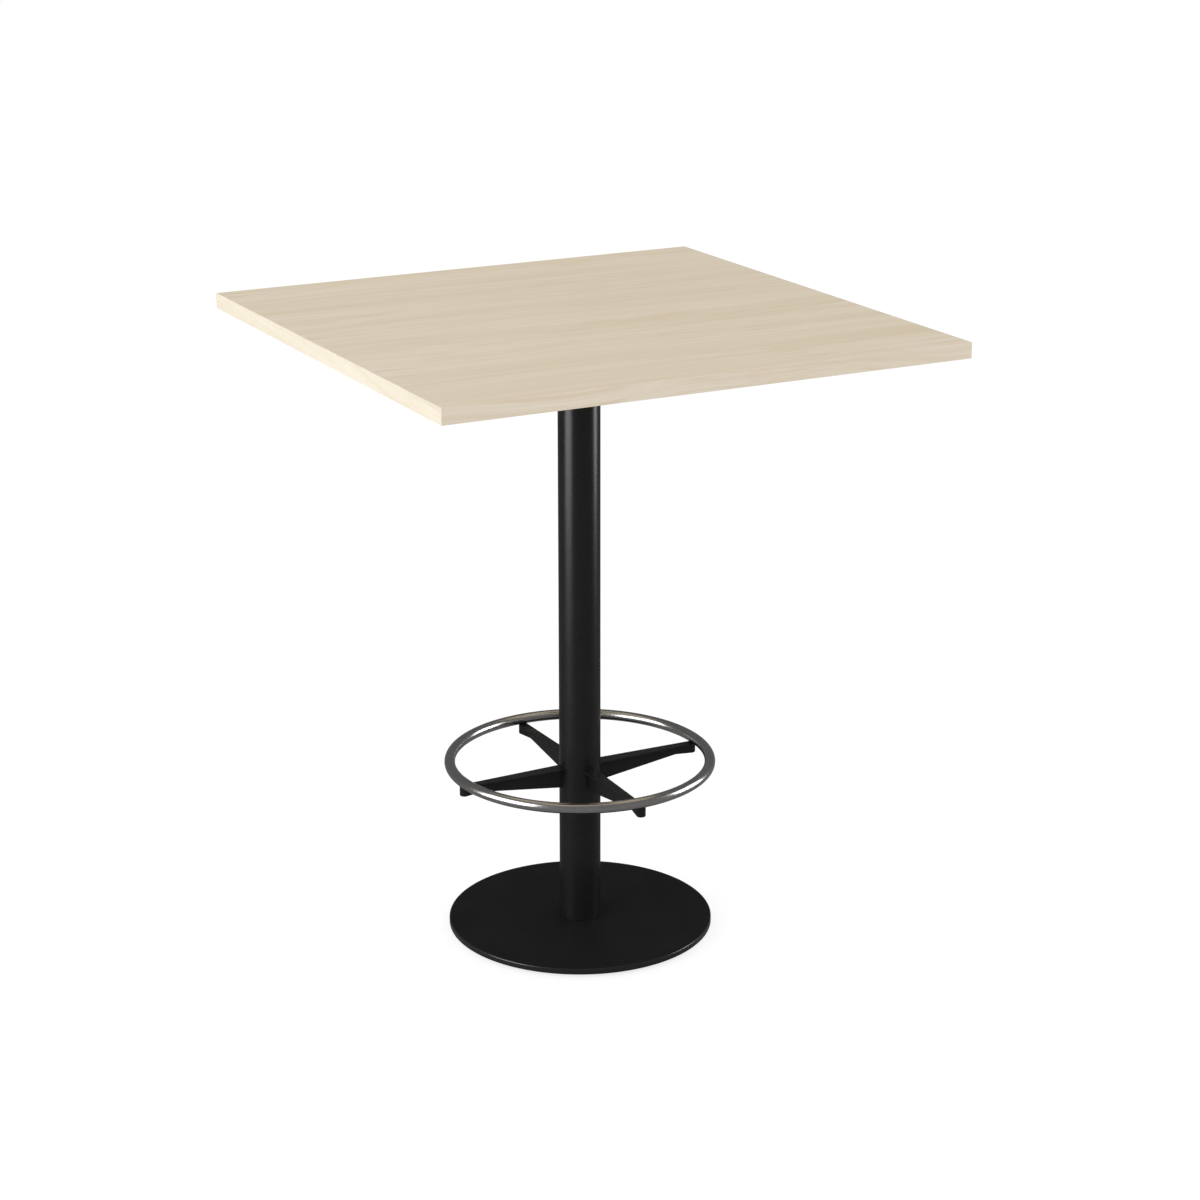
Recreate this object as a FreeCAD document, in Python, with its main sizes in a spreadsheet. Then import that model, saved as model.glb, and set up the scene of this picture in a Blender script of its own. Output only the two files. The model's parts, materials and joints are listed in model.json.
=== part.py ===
"""Square pub table: laminate top, round steel column, disc base and a foot ring on four arms.

The part frame has +Z up, the floor at z = 0 and the column's axis on Z. The sides of the top
run along X and Y. Lengths are in millimetres and angles in degrees.
"""
import FreeCAD, Part
import os

import Sketcher
from FreeCAD import Placement, Rotation, Vector

# The driving sizes: one cell of the sheet each, in the order in which the table stands.
SIZES = {
    # levelling glides under the base
    "glide_circle_diameter": 390.0,
    "glide_pad_diameter": 30.0,
    "glide_pad_height": 3.0,
    "glide_pad_floor": 0.9,
    "glide_pad_rounding": 0.8,
    "glide_foot_diameter": 10.0,
    "glide_foot_height": 1.0,
    "glide_neck_diameter": 7.0,
    "glide_hex_flats": 13.0,
    "glide_hex_height": 2.0,
    "glide_thread_diameter": 8.0,
    "glide_thread_length": 7.5,
    "glide_bore_end_gap": 0.5,
    "running_clearance": 0.05,
    # base disc and its screws
    "base_diameter": 450.0,
    "base_thickness": 10.0,
    "base_edge_radius": 2.0,
    "base_under_chamfer": 0.6,
    "base_screw_circle_diameter": 42.0,
    "base_screw_diameter": 10.0,
    "base_screw_head_diameter": 19.0,
    "base_screw_length": 22.0,
    "base_screw_socket": 6.0,
    "base_screw_socket_depth": 3.0,
    # column and the plugs welded into its ends
    "column_diameter": 70.0,
    "column_wall": 2.0,
    "foot_plug_height": 15.0,
    "head_plug_height": 12.0,
    # foot ring and its screws
    "ring_diameter": 440.0,
    "ring_tube_diameter": 18.0,
    "ring_tube_wall": 2.0,
    "ring_height": 298.5,
    "ring_screw_inset": 3.0,
    "ring_screw_diameter": 5.0,
    "ring_screw_reach": 6.0,
    "ring_screw_head_diameter": 8.5,
    "ring_screw_head_height": 5.0,
    "ring_screw_recess": 5.5,
    "ring_screw_socket": 4.0,
    "ring_screw_socket_depth": 2.5,
    # arms that carry the foot ring
    "saddle_depth": 0.5,
    "arm_flange_thickness": 2.5,
    "arm_flange_rounding": 0.8,
    "arm_root_width": 25.0,
    "arm_root_depth": 36.6,
    "arm_tip_depth": 16.4,
    "arm_web_thickness": 3.0,
    "arm_web_fillet": 1.5,
    "arm_level_run": 31.0,
    "boss_diameter": 15.5,
    "boss_height": 17.0,
    "boss_inset": 4.0,
    "boss_rounding": 1.5,
    # plate under the top
    "plate_width": 360.0,
    "plate_thickness": 5.0,
    "plate_corner_radius": 24.0,
    "plate_edge_chamfer": 0.8,
    "plate_screw_inset": 25.0,
    "head_screw_circle_diameter": 42.0,
    "head_screw_diameter": 8.0,
    "head_screw_head_diameter": 15.0,
    "head_screw_length": 16.0,
    "head_screw_socket": 5.0,
    "head_screw_socket_depth": 2.5,
    "screw_hole_play": 0.5,
    # screws and inserts that hold the top
    "top_screw_diameter": 6.0,
    "top_screw_length": 16.0,
    "top_screw_head_diameter": 11.0,
    "top_screw_head_height": 3.3,
    "top_screw_head_bevel": 1.2,
    "top_screw_socket": 4.0,
    "top_screw_socket_depth": 2.1,
    "insert_diameter": 10.0,
    "insert_length": 13.0,
    # the top
    "overall_height": 1060.0,
    "top_length": 900.0,
    "top_width": 900.0,
    "core_thickness": 24.0,
    "laminate_thickness": 0.8,
    "band_thickness": 2.0,
    "band_edge_radius": 1.0,
}

ARM_COUNT = 4
GLIDE_COUNT = 4
GLIDE_START_ANGLE = 45.0
FULL_TURN = 360.0
HEX_CORNERS = 6
FLATS_TO_CORNERS = 3.0 ** 0.5
ON_PLANE = 1e-4
UPSIDE_DOWN = Rotation(Vector(1, 0, 0), 180)

doc = FreeCAD.newDocument("pub_table")
nodes = []


class Size:
    """A length that carries both its number and the sheet expression that it stands for."""

    def __init__(self, value, text):
        self.value = value
        self.text = text

    def __add__(self, other):
        other = as_size(other)
        return Size(self.value + other.value, f"({self.text} + {other.text})")

    def __sub__(self, other):
        other = as_size(other)
        return Size(self.value - other.value, f"({self.text} - {other.text})")

    def __mul__(self, other):
        other = as_size(other)
        return Size(self.value * other.value, f"({self.text} * {other.text})")

    def __truediv__(self, other):
        other = as_size(other)
        return Size(self.value / other.value, f"({self.text} / {other.text})")

    def __rsub__(self, other):
        return as_size(other) - self

    def __neg__(self):
        return as_size(0) - self

    __radd__ = __add__
    __rmul__ = __mul__


def as_size(item):
    """A plain number as a Size, and a Size as it is."""
    return item if isinstance(item, Size) else Size(float(item), str(item))


class Sheet:
    """The spreadsheet of driving sizes; each alias reads as an attribute, a Size."""

    def __init__(self, name, sizes):
        sheet = doc.addObject("Spreadsheet::Sheet", name)
        for row, (alias, number) in enumerate(sizes.items(), 1):
            sheet.set(f"A{row}", alias)
            sheet.set(f"B{row}", str(number))
            sheet.setAlias(f"B{row}", alias)
            setattr(self, alias, Size(number, f"{name}.{alias}"))
        doc.recompute()


def bind(item, **sizes):
    """Set properties of an object and tie them to the sheet."""
    for name, size in sizes.items():
        size = as_size(size)
        setattr(item, name, size.value)
        item.setExpression(name, size.text)


def place(item, at, turn=Rotation()):
    """Put an object at a point given by three sizes, turned if asked."""
    point = [as_size(size) for size in at]
    item.Placement = Placement(Vector(*[size.value for size in point]), turn)
    for axis, size in zip("xyz", point):
        item.setExpression(f"Placement.Base.{axis}", size.text)


def node(item, label):
    """Give a finished sub-part the label that names its file."""
    item.Label = label
    nodes.append(item)


# ---- PartDesign helpers -------------------------------------------------------------------

def new_body(name):
    """An empty body."""
    return doc.addObject("PartDesign::Body", name + "_body")


def new_sketch(body, plane, level=0):
    """A sketch on one of the body's own origin planes, moved along its normal to a level."""
    sketch = body.newObject("Sketcher::SketchObject", "sketch")
    support = [item for item in body.Origin.OriginFeatures if item.Role == plane]
    sketch.AttachmentSupport = [(support[0], "")]
    sketch.MapMode = "FlatFace"
    sketch.setExpression("AttachmentOffset.Base.z", as_size(level).text)
    return sketch


def pin_point(sketch, geometry, vertex, x, y):
    """Fix one vertex of a sketch at two sizes measured from the sketch's origin."""
    for kind, size in (("DistanceX", as_size(x)), ("DistanceY", as_size(y))):
        rule = Sketcher.Constraint(kind, -1, 1, geometry, vertex, size.value)
        index = sketch.addConstraint(rule)
        sketch.setExpression(f"Constraints[{index}]", size.text)


def add_circle(sketch, x, y, radius):
    """A circle with its centre and radius tied to the sheet."""
    x, y, radius = as_size(x), as_size(y), as_size(radius)
    circle = Part.Circle(Vector(x.value, y.value, 0), Vector(0, 0, 1), radius.value)
    geometry = sketch.addGeometry(circle, False)
    pin_point(sketch, geometry, 3, x, y)
    index = sketch.addConstraint(Sketcher.Constraint("Radius", geometry, radius.value))
    sketch.setExpression(f"Constraints[{index}]", radius.text)


def add_polygon(sketch, corners):
    """A closed outline of straight lines through corners tied to the sheet."""
    corners = [(as_size(x), as_size(y)) for x, y in corners]
    points = [Vector(x.value, y.value, 0) for x, y in corners]
    lines = []
    for start, end in zip(points, points[1:] + points[:1]):
        lines.append(sketch.addGeometry(Part.LineSegment(start, end), False))
    for line, following in zip(lines, lines[1:] + lines[:1]):
        sketch.addConstraint(Sketcher.Constraint("Coincident", line, 2, following, 1))
    for line, (x, y) in zip(lines, corners):
        pin_point(sketch, line, 1, x, y)


def add_rectangle(sketch, low, high):
    """A rectangle between two opposite corners."""
    (x0, y0), (x1, y1) = low, high
    add_polygon(sketch, [(x0, y0), (x1, y0), (x1, y1), (x0, y1)])


def add_hexagon(sketch, flats):
    """A hexagon about the sketch's origin, with two flats across X."""
    half_flats = flats / 2
    corner = flats / FLATS_TO_CORNERS
    half_corner = corner / 2
    add_polygon(sketch, [(half_flats, half_corner), (0, corner), (-half_flats, half_corner),
                         (-half_flats, -half_corner), (0, -corner), (half_flats, -half_corner)])


def pad(body, sketch, length, symmetric=False):
    """Extrude a sketch along its normal, or half each way."""
    feature = body.newObject("PartDesign::Pad", "pad")
    feature.Profile = sketch
    feature.SideType = "Symmetric" if symmetric else "One side"
    bind(feature, Length=length)


def pocket(body, sketch, length, along_normal):
    """Cut a sketch out of the body, along its normal or against it."""
    feature = body.newObject("PartDesign::Pocket", "pocket")
    feature.Profile = sketch
    feature.Reversed = along_normal
    bind(feature, Length=length)
    check_cut(body, feature)


def turn_about_z(body, sketch, cut=False):
    """Revolve a sketch of the XZ plane a full turn about Z, as material or as a cut."""
    kind = "Groove" if cut else "Revolution"
    feature = body.newObject("PartDesign::" + kind, kind.lower())
    feature.Profile = sketch
    feature.ReferenceAxis = (sketch, ["V_Axis"])
    feature.Angle = FULL_TURN
    if cut:
        check_cut(body, feature)


def check_cut(body, feature):
    """Stop when a cut has taken nothing away."""
    doc.recompute()
    if feature.Shape.Volume >= feature.BaseFeature.Shape.Volume:
        raise RuntimeError(f"{feature.Name} of {body.Name} cuts nothing")


def soften(body, kind, size, wanted):
    """Fillet or chamfer the edges of the body that a test picks out."""
    doc.recompute()
    base = body.Tip
    edges = [f"Edge{i}" for i, edge in enumerate(base.Shape.Edges, 1) if wanted(edge)]
    feature = body.newObject("PartDesign::" + kind, kind.lower())
    feature.Base = (base, edges)
    if kind == "Fillet":
        bind(feature, Radius=size)
    else:
        bind(feature, Size=size)


def is_circle(edge, radius, z):
    """Whether an edge is a level circle of a given radius and height."""
    curve = edge.Curve
    return (isinstance(curve, Part.Circle)
            and abs(curve.Radius - as_size(radius).value) < ON_PLANE
            and abs(curve.Center.z - as_size(z).value) < ON_PLANE)


# ---- Part helpers -------------------------------------------------------------------------

def cylinder(radius, height, at=(0, 0, 0)):
    """An upright cylinder on a point."""
    item = doc.addObject("Part::Cylinder", "cylinder")
    bind(item, Radius=radius, Height=height)
    place(item, at)
    return item


def cone(low_radius, high_radius, height, at=(0, 0, 0)):
    """An upright cone frustum on a point."""
    item = doc.addObject("Part::Cone", "cone")
    bind(item, Radius1=low_radius, Radius2=high_radius, Height=height)
    place(item, at)
    return item


def hex_prism(flats, height, at=(0, 0, 0)):
    """An upright hexagonal prism, the shape of a hex socket."""
    item = doc.addObject("Part::Prism", "hexagon")
    item.Polygon = HEX_CORNERS
    bind(item, Circumradius=flats / FLATS_TO_CORNERS, Height=height)
    place(item, at)
    return item


def fuse(*shapes):
    """One solid from touching ones."""
    item = doc.addObject("Part::MultiFuse", "fuse")
    item.Shapes = list(shapes)
    item.Refine = True
    return item


def cut(base, tool):
    """A shape without its tool."""
    item = doc.addObject("Part::Cut", "cut")
    item.Base = base
    item.Tool = tool
    return item


def copies(master, spots, level, turn=Rotation()):
    """The same piece at several spots of one level, as a group of separate solids."""
    links = []
    for x, y in spots:
        link = doc.addObject("App::Link", master.Name + "_copy")
        link.LinkedObject = master
        place(link, (x, y, level), turn)
        links.append(link)
    group = doc.addObject("Part::Compound", master.Name + "_group")
    group.Links = links
    return group


def countersunk_screw(thread, head, length, socket, socket_depth):
    """A countersunk screw: its flat head face is at z = 0 and it points down."""
    head_height = (head - thread) / 2
    head_cone = cone(thread / 2, head / 2, head_height, (0, 0, -head_height))
    shank = cylinder(thread / 2, length - head_height, (0, 0, -length))
    return cut(fuse(head_cone, shank), hex_prism(socket, socket_depth, (0, 0, -socket_depth)))


def spots_on_axes(radius):
    """Four spots on the X and Y axes."""
    return [(radius, 0), (0, radius), (-radius, 0), (0, -radius)]


def spots_on_square(half):
    """The corners and the side middles of a square about the origin."""
    corners = [(half, half), (-half, half), (-half, -half), (half, -half)]
    return corners + spots_on_axes(half)


# ---- sizes that follow from the sheet -----------------------------------------------------

S = Sheet("sizes", SIZES)

base_under = S.glide_pad_height + S.glide_hex_height
base_top = base_under + S.base_thickness
column_radius = S.column_diameter / 2
plug_radius = column_radius - S.column_wall

top_thickness = S.core_thickness + 2 * S.laminate_thickness
top_under = S.overall_height - top_thickness
core_under = top_under + S.laminate_thickness
core_top = S.overall_height - S.laminate_thickness
plate_under = top_under - S.plate_thickness
half_length = S.top_length / 2
half_width = S.top_width / 2
half_core_length = half_length - S.band_thickness
half_core_width = half_width - S.band_thickness

ring_radius = S.ring_diameter / 2
ring_tube_radius = S.ring_tube_diameter / 2
arm_top = S.ring_height - ring_tube_radius + S.saddle_depth
boss_radius = S.boss_diameter / 2
boss_centre = ring_radius - S.boss_inset
boss_under = arm_top - S.boss_height
ring_screw_centre = ring_radius - S.ring_screw_inset

top_screw_spots = spots_on_square(S.plate_width / 2 - S.plate_screw_inset)
head_screw_spots = spots_on_axes(S.head_screw_circle_diameter / 2)
base_screw_spots = spots_on_axes(S.base_screw_circle_diameter / 2)
ring_screw_spots = spots_on_axes(ring_screw_centre)


# ---- the top ------------------------------------------------------------------------------

def make_slab(label, under, thickness, hole_depth=None):
    """A sheet of the top inside its edge bands, with the insert holes from below if asked."""
    body = new_body(label)
    outline = new_sketch(body, "XY_Plane", under)
    add_rectangle(outline, (-half_core_length, -half_core_width),
                  (half_core_length, half_core_width))
    pad(body, outline, thickness)
    if hole_depth is not None:
        holes = new_sketch(body, "XY_Plane", under)
        for x, y in top_screw_spots:
            add_circle(holes, x, y, S.insert_diameter / 2)
        pocket(body, holes, hole_depth, along_normal=True)
    node(body, label)


def make_edge_band(label, low, high):
    """An edge band over a rectangle of the plan, with its outer edges rounded."""
    outer = [("x", half_length.value), ("x", -half_length.value), ("y", half_width.value),
             ("y", -half_width.value), ("z", S.overall_height.value), ("z", top_under.value)]

    def is_outer(edge):
        centre = edge.CenterOfMass
        planes = [abs(getattr(centre, axis) - level) < ON_PLANE for axis, level in outer]
        return sum(planes) >= 2

    body = new_body(label)
    outline = new_sketch(body, "XY_Plane", top_under)
    add_rectangle(outline, low, high)
    pad(body, outline, top_thickness)
    soften(body, "Fillet", S.band_edge_radius, is_outer)
    node(body, label)


def make_top():
    """The chipboard core, both laminates and the four edge bands."""
    insert_top = S.insert_length - S.laminate_thickness
    make_slab("top_core", core_under, S.core_thickness, insert_top)
    make_slab("top_laminate", core_top, S.laminate_thickness)
    make_slab("under_laminate", top_under, S.laminate_thickness, S.laminate_thickness)
    make_edge_band("edge_band_front", (-half_length, -half_width), (half_length, -half_core_width))
    make_edge_band("edge_band_back", (-half_length, half_core_width), (half_length, half_width))
    make_edge_band("edge_band_left", (-half_length, -half_core_width),
                   (-half_core_length, half_core_width))
    make_edge_band("edge_band_right", (half_core_length, -half_core_width),
                   (half_length, half_core_width))


def make_top_plate():
    """The steel plate that joins the top to the column, with its screw holes."""
    half = S.plate_width / 2
    head_hole_radius = S.head_screw_diameter / 2 + S.screw_hole_play
    body = new_body("top_plate")
    outline = new_sketch(body, "XY_Plane", plate_under)
    add_rectangle(outline, (-half, -half), (half, half))
    pad(body, outline, S.plate_thickness)

    def is_corner(edge):
        return abs(edge.Vertexes[0].Z - edge.Vertexes[-1].Z) > ON_PLANE

    def is_lower_rim(edge):
        return abs(edge.BoundBox.ZMax - plate_under.value) < ON_PLANE

    soften(body, "Fillet", S.plate_corner_radius, is_corner)
    soften(body, "Chamfer", S.plate_edge_chamfer, is_lower_rim)
    holes = new_sketch(body, "XY_Plane", plate_under)
    for x, y in top_screw_spots:
        add_circle(holes, x, y, S.top_screw_diameter / 2 + S.screw_hole_play)
    for x, y in head_screw_spots:
        add_circle(holes, x, y, head_hole_radius)
    pocket(body, holes, S.plate_thickness, along_normal=True)
    countersink = S.head_screw_head_diameter / 2 - head_hole_radius
    soften(body, "Chamfer", countersink,
           lambda edge: is_circle(edge, head_hole_radius, top_under))
    node(body, "top_plate")


def make_top_fasteners():
    """The threaded inserts in the core and the button head screws that go up into them."""
    thread_radius = S.top_screw_diameter / 2
    insert = cut(cylinder(S.insert_diameter / 2, S.insert_length),
                 cylinder(thread_radius, S.insert_length))
    node(copies(insert, top_screw_spots, top_under), "top_inserts")

    head_radius = S.top_screw_head_diameter / 2
    bevel = S.top_screw_head_bevel
    rim = S.top_screw_head_height - bevel
    screw = cut(
        fuse(cylinder(thread_radius, S.top_screw_length, (0, 0, -S.top_screw_length)),
             cylinder(head_radius, rim),
             cone(head_radius, head_radius - bevel, bevel, (0, 0, rim))),
        hex_prism(S.top_screw_socket, S.top_screw_socket_depth,
                  (0, 0, S.top_screw_head_height - S.top_screw_socket_depth)))
    node(copies(screw, top_screw_spots, plate_under, UPSIDE_DOWN), "top_screws")


# ---- the column ---------------------------------------------------------------------------

def make_column():
    """The column's tube and the plugs welded into its ends, which take the flange screws."""
    body = new_body("column_tube")
    section = new_sketch(body, "XY_Plane", base_top)
    add_circle(section, 0, 0, column_radius)
    add_circle(section, 0, 0, plug_radius)
    pad(body, section, plate_under - base_top)
    node(body, "column_tube")

    make_plug("head_plug", plate_under - S.head_plug_height, S.head_plug_height,
              head_screw_spots, S.head_screw_diameter)
    make_plug("foot_plug", base_top, S.foot_plug_height, base_screw_spots, S.base_screw_diameter)


def make_plug(label, under, height, spots, thread):
    """A steel disc that fills the tube's end, with tapped holes right through."""
    body = new_body(label)
    section = new_sketch(body, "XY_Plane", under)
    add_circle(section, 0, 0, plug_radius)
    for x, y in spots:
        add_circle(section, x, y, thread / 2)
    pad(body, section, height)
    node(body, label)


def make_flange_screws():
    """The countersunk screws that hold the plate on the column and the column on the disc."""
    head_screw = countersunk_screw(S.head_screw_diameter, S.head_screw_head_diameter,
                                   S.head_screw_length, S.head_screw_socket,
                                   S.head_screw_socket_depth)
    node(copies(head_screw, head_screw_spots, top_under), "head_screws")
    base_screw = countersunk_screw(S.base_screw_diameter, S.base_screw_head_diameter,
                                   S.base_screw_length, S.base_screw_socket,
                                   S.base_screw_socket_depth)
    node(copies(base_screw, base_screw_spots, base_under, UPSIDE_DOWN), "base_screws")


# ---- the base -----------------------------------------------------------------------------

def glide_angle(index):
    """The direction of a glide, seen from above."""
    return Rotation(Vector(0, 0, 1), GLIDE_START_ANGLE + index * FULL_TURN / GLIDE_COUNT)


def make_base_disc():
    """The steel disc, with countersunk screw holes and blind tapped holes from below."""
    base_radius = S.base_diameter / 2
    screw_hole_radius = S.base_screw_diameter / 2 + S.screw_hole_play
    body = new_body("base_disc")
    outline = new_sketch(body, "XY_Plane", base_under)
    add_circle(outline, 0, 0, base_radius)
    pad(body, outline, S.base_thickness)
    soften(body, "Fillet", S.base_edge_radius, lambda edge: is_circle(edge, base_radius, base_top))
    soften(body, "Chamfer", S.base_under_chamfer,
           lambda edge: is_circle(edge, base_radius, base_under))

    screw_holes = new_sketch(body, "XY_Plane", base_under)
    for x, y in base_screw_spots:
        add_circle(screw_holes, x, y, screw_hole_radius)
    pocket(body, screw_holes, S.base_thickness, along_normal=True)
    soften(body, "Chamfer", S.base_screw_head_diameter / 2 - screw_hole_radius,
           lambda edge: is_circle(edge, screw_hole_radius, base_under))

    glide_spots = spots_on_axes(S.glide_circle_diameter / 2)
    glide_holes = new_sketch(body, "XY_Plane", base_under)
    glide_holes.AttachmentOffset = Placement(Vector(), glide_angle(0))
    glide_holes.setExpression("AttachmentOffset.Base.z", base_under.text)
    for x, y in glide_spots:
        add_circle(glide_holes, x, y, S.glide_thread_diameter / 2 + S.running_clearance)
    pocket(body, glide_holes, S.glide_thread_length + S.glide_bore_end_gap, along_normal=True)
    node(body, "base_disc")


def make_glide_pad(index):
    """A plastic pad whose socket holds the screw's foot, free to turn."""
    radius = S.glide_pad_diameter / 2
    clearance = S.running_clearance
    neck = S.glide_neck_diameter / 2 + clearance
    foot = S.glide_foot_diameter / 2 + clearance
    foot_top = S.glide_pad_floor + clearance + S.glide_foot_height + clearance
    height = S.glide_pad_height
    label = f"glide_pad_{index + 1}"
    body = new_body(label)
    profile = new_sketch(body, "XZ_Plane")
    add_polygon(profile, [(0, 0), (radius, 0), (radius, height), (neck, height),
                          (neck, foot_top), (foot, foot_top), (foot, S.glide_pad_floor),
                          (0, S.glide_pad_floor)])
    turn_about_z(body, profile)
    soften(body, "Fillet", S.glide_pad_rounding,
           lambda edge: is_circle(edge, radius, height) or is_circle(edge, radius, 0))
    stand_on_glide_circle(body, index)
    node(body, label)


def make_glide_stud(index):
    """A levelling screw: foot, neck, hexagon to turn it by, and the thread in the disc."""
    thread = S.glide_thread_diameter / 2
    neck = S.glide_neck_diameter / 2
    foot = S.glide_foot_diameter / 2
    foot_under = S.glide_pad_floor + S.running_clearance
    foot_top = foot_under + S.glide_foot_height
    label = f"glide_stud_{index + 1}"
    body = new_body(label)
    profile = new_sketch(body, "XZ_Plane")
    add_polygon(profile, [(0, foot_under), (foot, foot_under), (foot, foot_top), (neck, foot_top),
                          (neck, S.glide_pad_height), (thread, S.glide_pad_height),
                          (thread, base_under + S.glide_thread_length),
                          (0, base_under + S.glide_thread_length)])
    turn_about_z(body, profile)
    hexagon = new_sketch(body, "XY_Plane", S.glide_pad_height)
    add_hexagon(hexagon, S.glide_hex_flats)
    pad(body, hexagon, S.glide_hex_height)
    stand_on_glide_circle(body, index)
    node(body, label)


def stand_on_glide_circle(body, index):
    """Move a body from the origin to its place on the glide circle."""
    turn = glide_angle(index)
    direction = turn.multVec(Vector(1, 0, 0))
    radius = S.glide_circle_diameter / 2
    place(body, (radius * direction.x, radius * direction.y, 0), turn)


# ---- the foot ring ------------------------------------------------------------------------

def make_foot_ring():
    """The ring, a round tube bent to a circle, with a tapped hole over each arm."""
    body = new_body("foot_ring")
    section = new_sketch(body, "XZ_Plane")
    add_circle(section, ring_radius, S.ring_height, ring_tube_radius)
    add_circle(section, ring_radius, S.ring_height, ring_tube_radius - S.ring_tube_wall)
    turn_about_z(body, section)
    holes = new_sketch(body, "XY_Plane", S.ring_height)
    for x, y in ring_screw_spots:
        add_circle(holes, x, y, S.ring_screw_diameter / 2)
    pocket(body, holes, ring_tube_radius, along_normal=False)
    node(body, "foot_ring")


def make_ring_arm(index):
    """An arm: a tapered flange over a thin web that flares into a boss under the ring."""
    label = f"ring_arm_{index + 1}"
    flange_under = arm_top - S.arm_flange_thickness
    inner = column_radius / 2
    reach = boss_centre - column_radius
    flange_taper = (S.arm_root_width / 2 - boss_radius) / reach
    inner_half = S.arm_root_width / 2 + flange_taper * (column_radius - inner)
    level_start = boss_centre - S.arm_level_run
    web_slope = (S.arm_root_depth - S.arm_tip_depth) / (level_start - column_radius)
    inner_depth = S.arm_root_depth + web_slope * (column_radius - inner)
    body = new_body(label)

    flange = new_sketch(body, "XY_Plane", flange_under)
    add_polygon(flange, [(inner, -inner_half), (boss_centre, -boss_radius),
                         (boss_centre, boss_radius), (inner, inner_half)])
    pad(body, flange, S.arm_flange_thickness)
    soften(body, "Fillet", S.arm_flange_rounding, lambda edge: edge.Length > reach.value)

    web = new_sketch(body, "XZ_Plane")
    add_polygon(web, [(inner, arm_top - inner_depth), (level_start, arm_top - S.arm_tip_depth),
                      (boss_centre, arm_top - S.arm_tip_depth), (boss_centre, flange_under),
                      (inner, flange_under)])
    pad(body, web, S.arm_web_thickness, symmetric=True)

    def is_web_joint(edge):
        middle = edge.CenterOfMass
        return (edge.Length > reach.value
                and abs(abs(middle.y) - S.arm_web_thickness.value / 2) < ON_PLANE
                and abs(middle.z - flange_under.value) < ON_PLANE)

    soften(body, "Fillet", S.arm_web_fillet, is_web_joint)

    boss = new_body(label + "_boss")
    outline = new_sketch(boss, "XY_Plane", boss_under)
    add_circle(outline, boss_centre, 0, boss_radius)
    pad(boss, outline, S.boss_height)
    soften(boss, "Fillet", S.boss_rounding, lambda edge: is_circle(edge, boss_radius, boss_under))
    web_half = S.arm_web_thickness / 2
    flare = new_sketch(boss, "XY_Plane", arm_top - S.arm_tip_depth)
    add_polygon(flare, [(level_start, -web_half), (boss_centre, -boss_radius),
                        (boss_centre, boss_radius), (level_start, web_half)])
    pad(boss, flare, S.arm_tip_depth - S.arm_flange_thickness / 2)
    join = body.newObject("PartDesign::Boolean", "join")
    join.Type = "Fuse"
    join.setObjects([boss])

    column = new_sketch(body, "XY_Plane", arm_top)
    add_circle(column, 0, 0, column_radius)
    pocket(body, column, inner_depth, along_normal=False)
    tube = new_sketch(body, "XZ_Plane")
    add_circle(tube, ring_radius, S.ring_height, ring_tube_radius)
    turn_about_z(body, tube, cut=True)
    screw_hole = new_sketch(body, "XY_Plane", boss_under)
    add_circle(screw_hole, ring_screw_centre, 0, S.ring_screw_diameter / 2 + S.screw_hole_play / 2)
    pocket(body, screw_hole, S.boss_height, along_normal=True)
    recess = new_sketch(body, "XY_Plane", boss_under)
    add_circle(recess, ring_screw_centre, 0, (S.ring_screw_head_diameter + S.screw_hole_play) / 2)
    pocket(body, recess, S.ring_screw_recess, along_normal=True)

    body.Placement = Placement(Vector(), Rotation(Vector(0, 0, 1), index * FULL_TURN / ARM_COUNT))
    node(body, label)


def make_ring_screws():
    """The cap screws that go up through the arms' bosses into the ring."""
    seat = boss_under + S.ring_screw_recess
    reach = S.ring_height - ring_tube_radius + S.ring_screw_reach - seat
    head = cylinder(S.ring_screw_head_diameter / 2, S.ring_screw_head_height)
    shank = cylinder(S.ring_screw_diameter / 2, reach, (0, 0, -reach))
    socket = hex_prism(S.ring_screw_socket, S.ring_screw_socket_depth,
                       (0, 0, S.ring_screw_head_height - S.ring_screw_socket_depth))
    screw = cut(fuse(head, shank), socket)
    node(copies(screw, ring_screw_spots, seat, UPSIDE_DOWN), "ring_screws")


# ---- the assembly -------------------------------------------------------------------------

def check_document():
    """Stop when an object has failed or a sub-part has no valid closed solid."""
    for item in doc.Objects:
        if {"Invalid", "Error"} & set(item.State):
            raise RuntimeError(f"{item.Name} ({item.Label}) failed: {item.State}")
    for item in nodes:
        shape = item.Shape
        if shape.isNull() or not shape.isValid() or not shape.Solids:
            raise RuntimeError(f"{item.Label} has no valid solid")


def main():
    """Build every sub-part and write each one to its own file."""
    make_top()
    make_top_plate()
    make_top_fasteners()
    make_column()
    make_flange_screws()
    make_base_disc()
    make_foot_ring()
    for index in range(ARM_COUNT):
        make_ring_arm(index)
    make_ring_screws()
    for index in range(GLIDE_COUNT):
        make_glide_pad(index)
        make_glide_stud(index)
    doc.recompute()
    check_document()

    os.makedirs("parts", exist_ok=True)
    for item in nodes:
        item.Shape.exportStep(f"parts/{item.Label}.step")
        print(f"{item.Label}: {len(item.Shape.Solids)} solids, {item.Shape.Volume:.0f} mm3")


main()
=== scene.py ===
"""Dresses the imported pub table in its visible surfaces, finishes and studio.

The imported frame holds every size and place. Each sub-assembly below reads the boxes of its own
frame nodes, builds smooth meshes there in metres (+Z up, the column on Z), and stands in for
them. Nodes whose faces are flat or hidden stay as they are, with a finish of their own.
"""
import sys

import json
import logging
import math
from dataclasses import dataclass, field
from enum import Enum
from typing import Callable, Iterable, NamedTuple, Sequence

import bmesh
import bpy
from mathutils import Euler, Matrix, Vector

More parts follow.
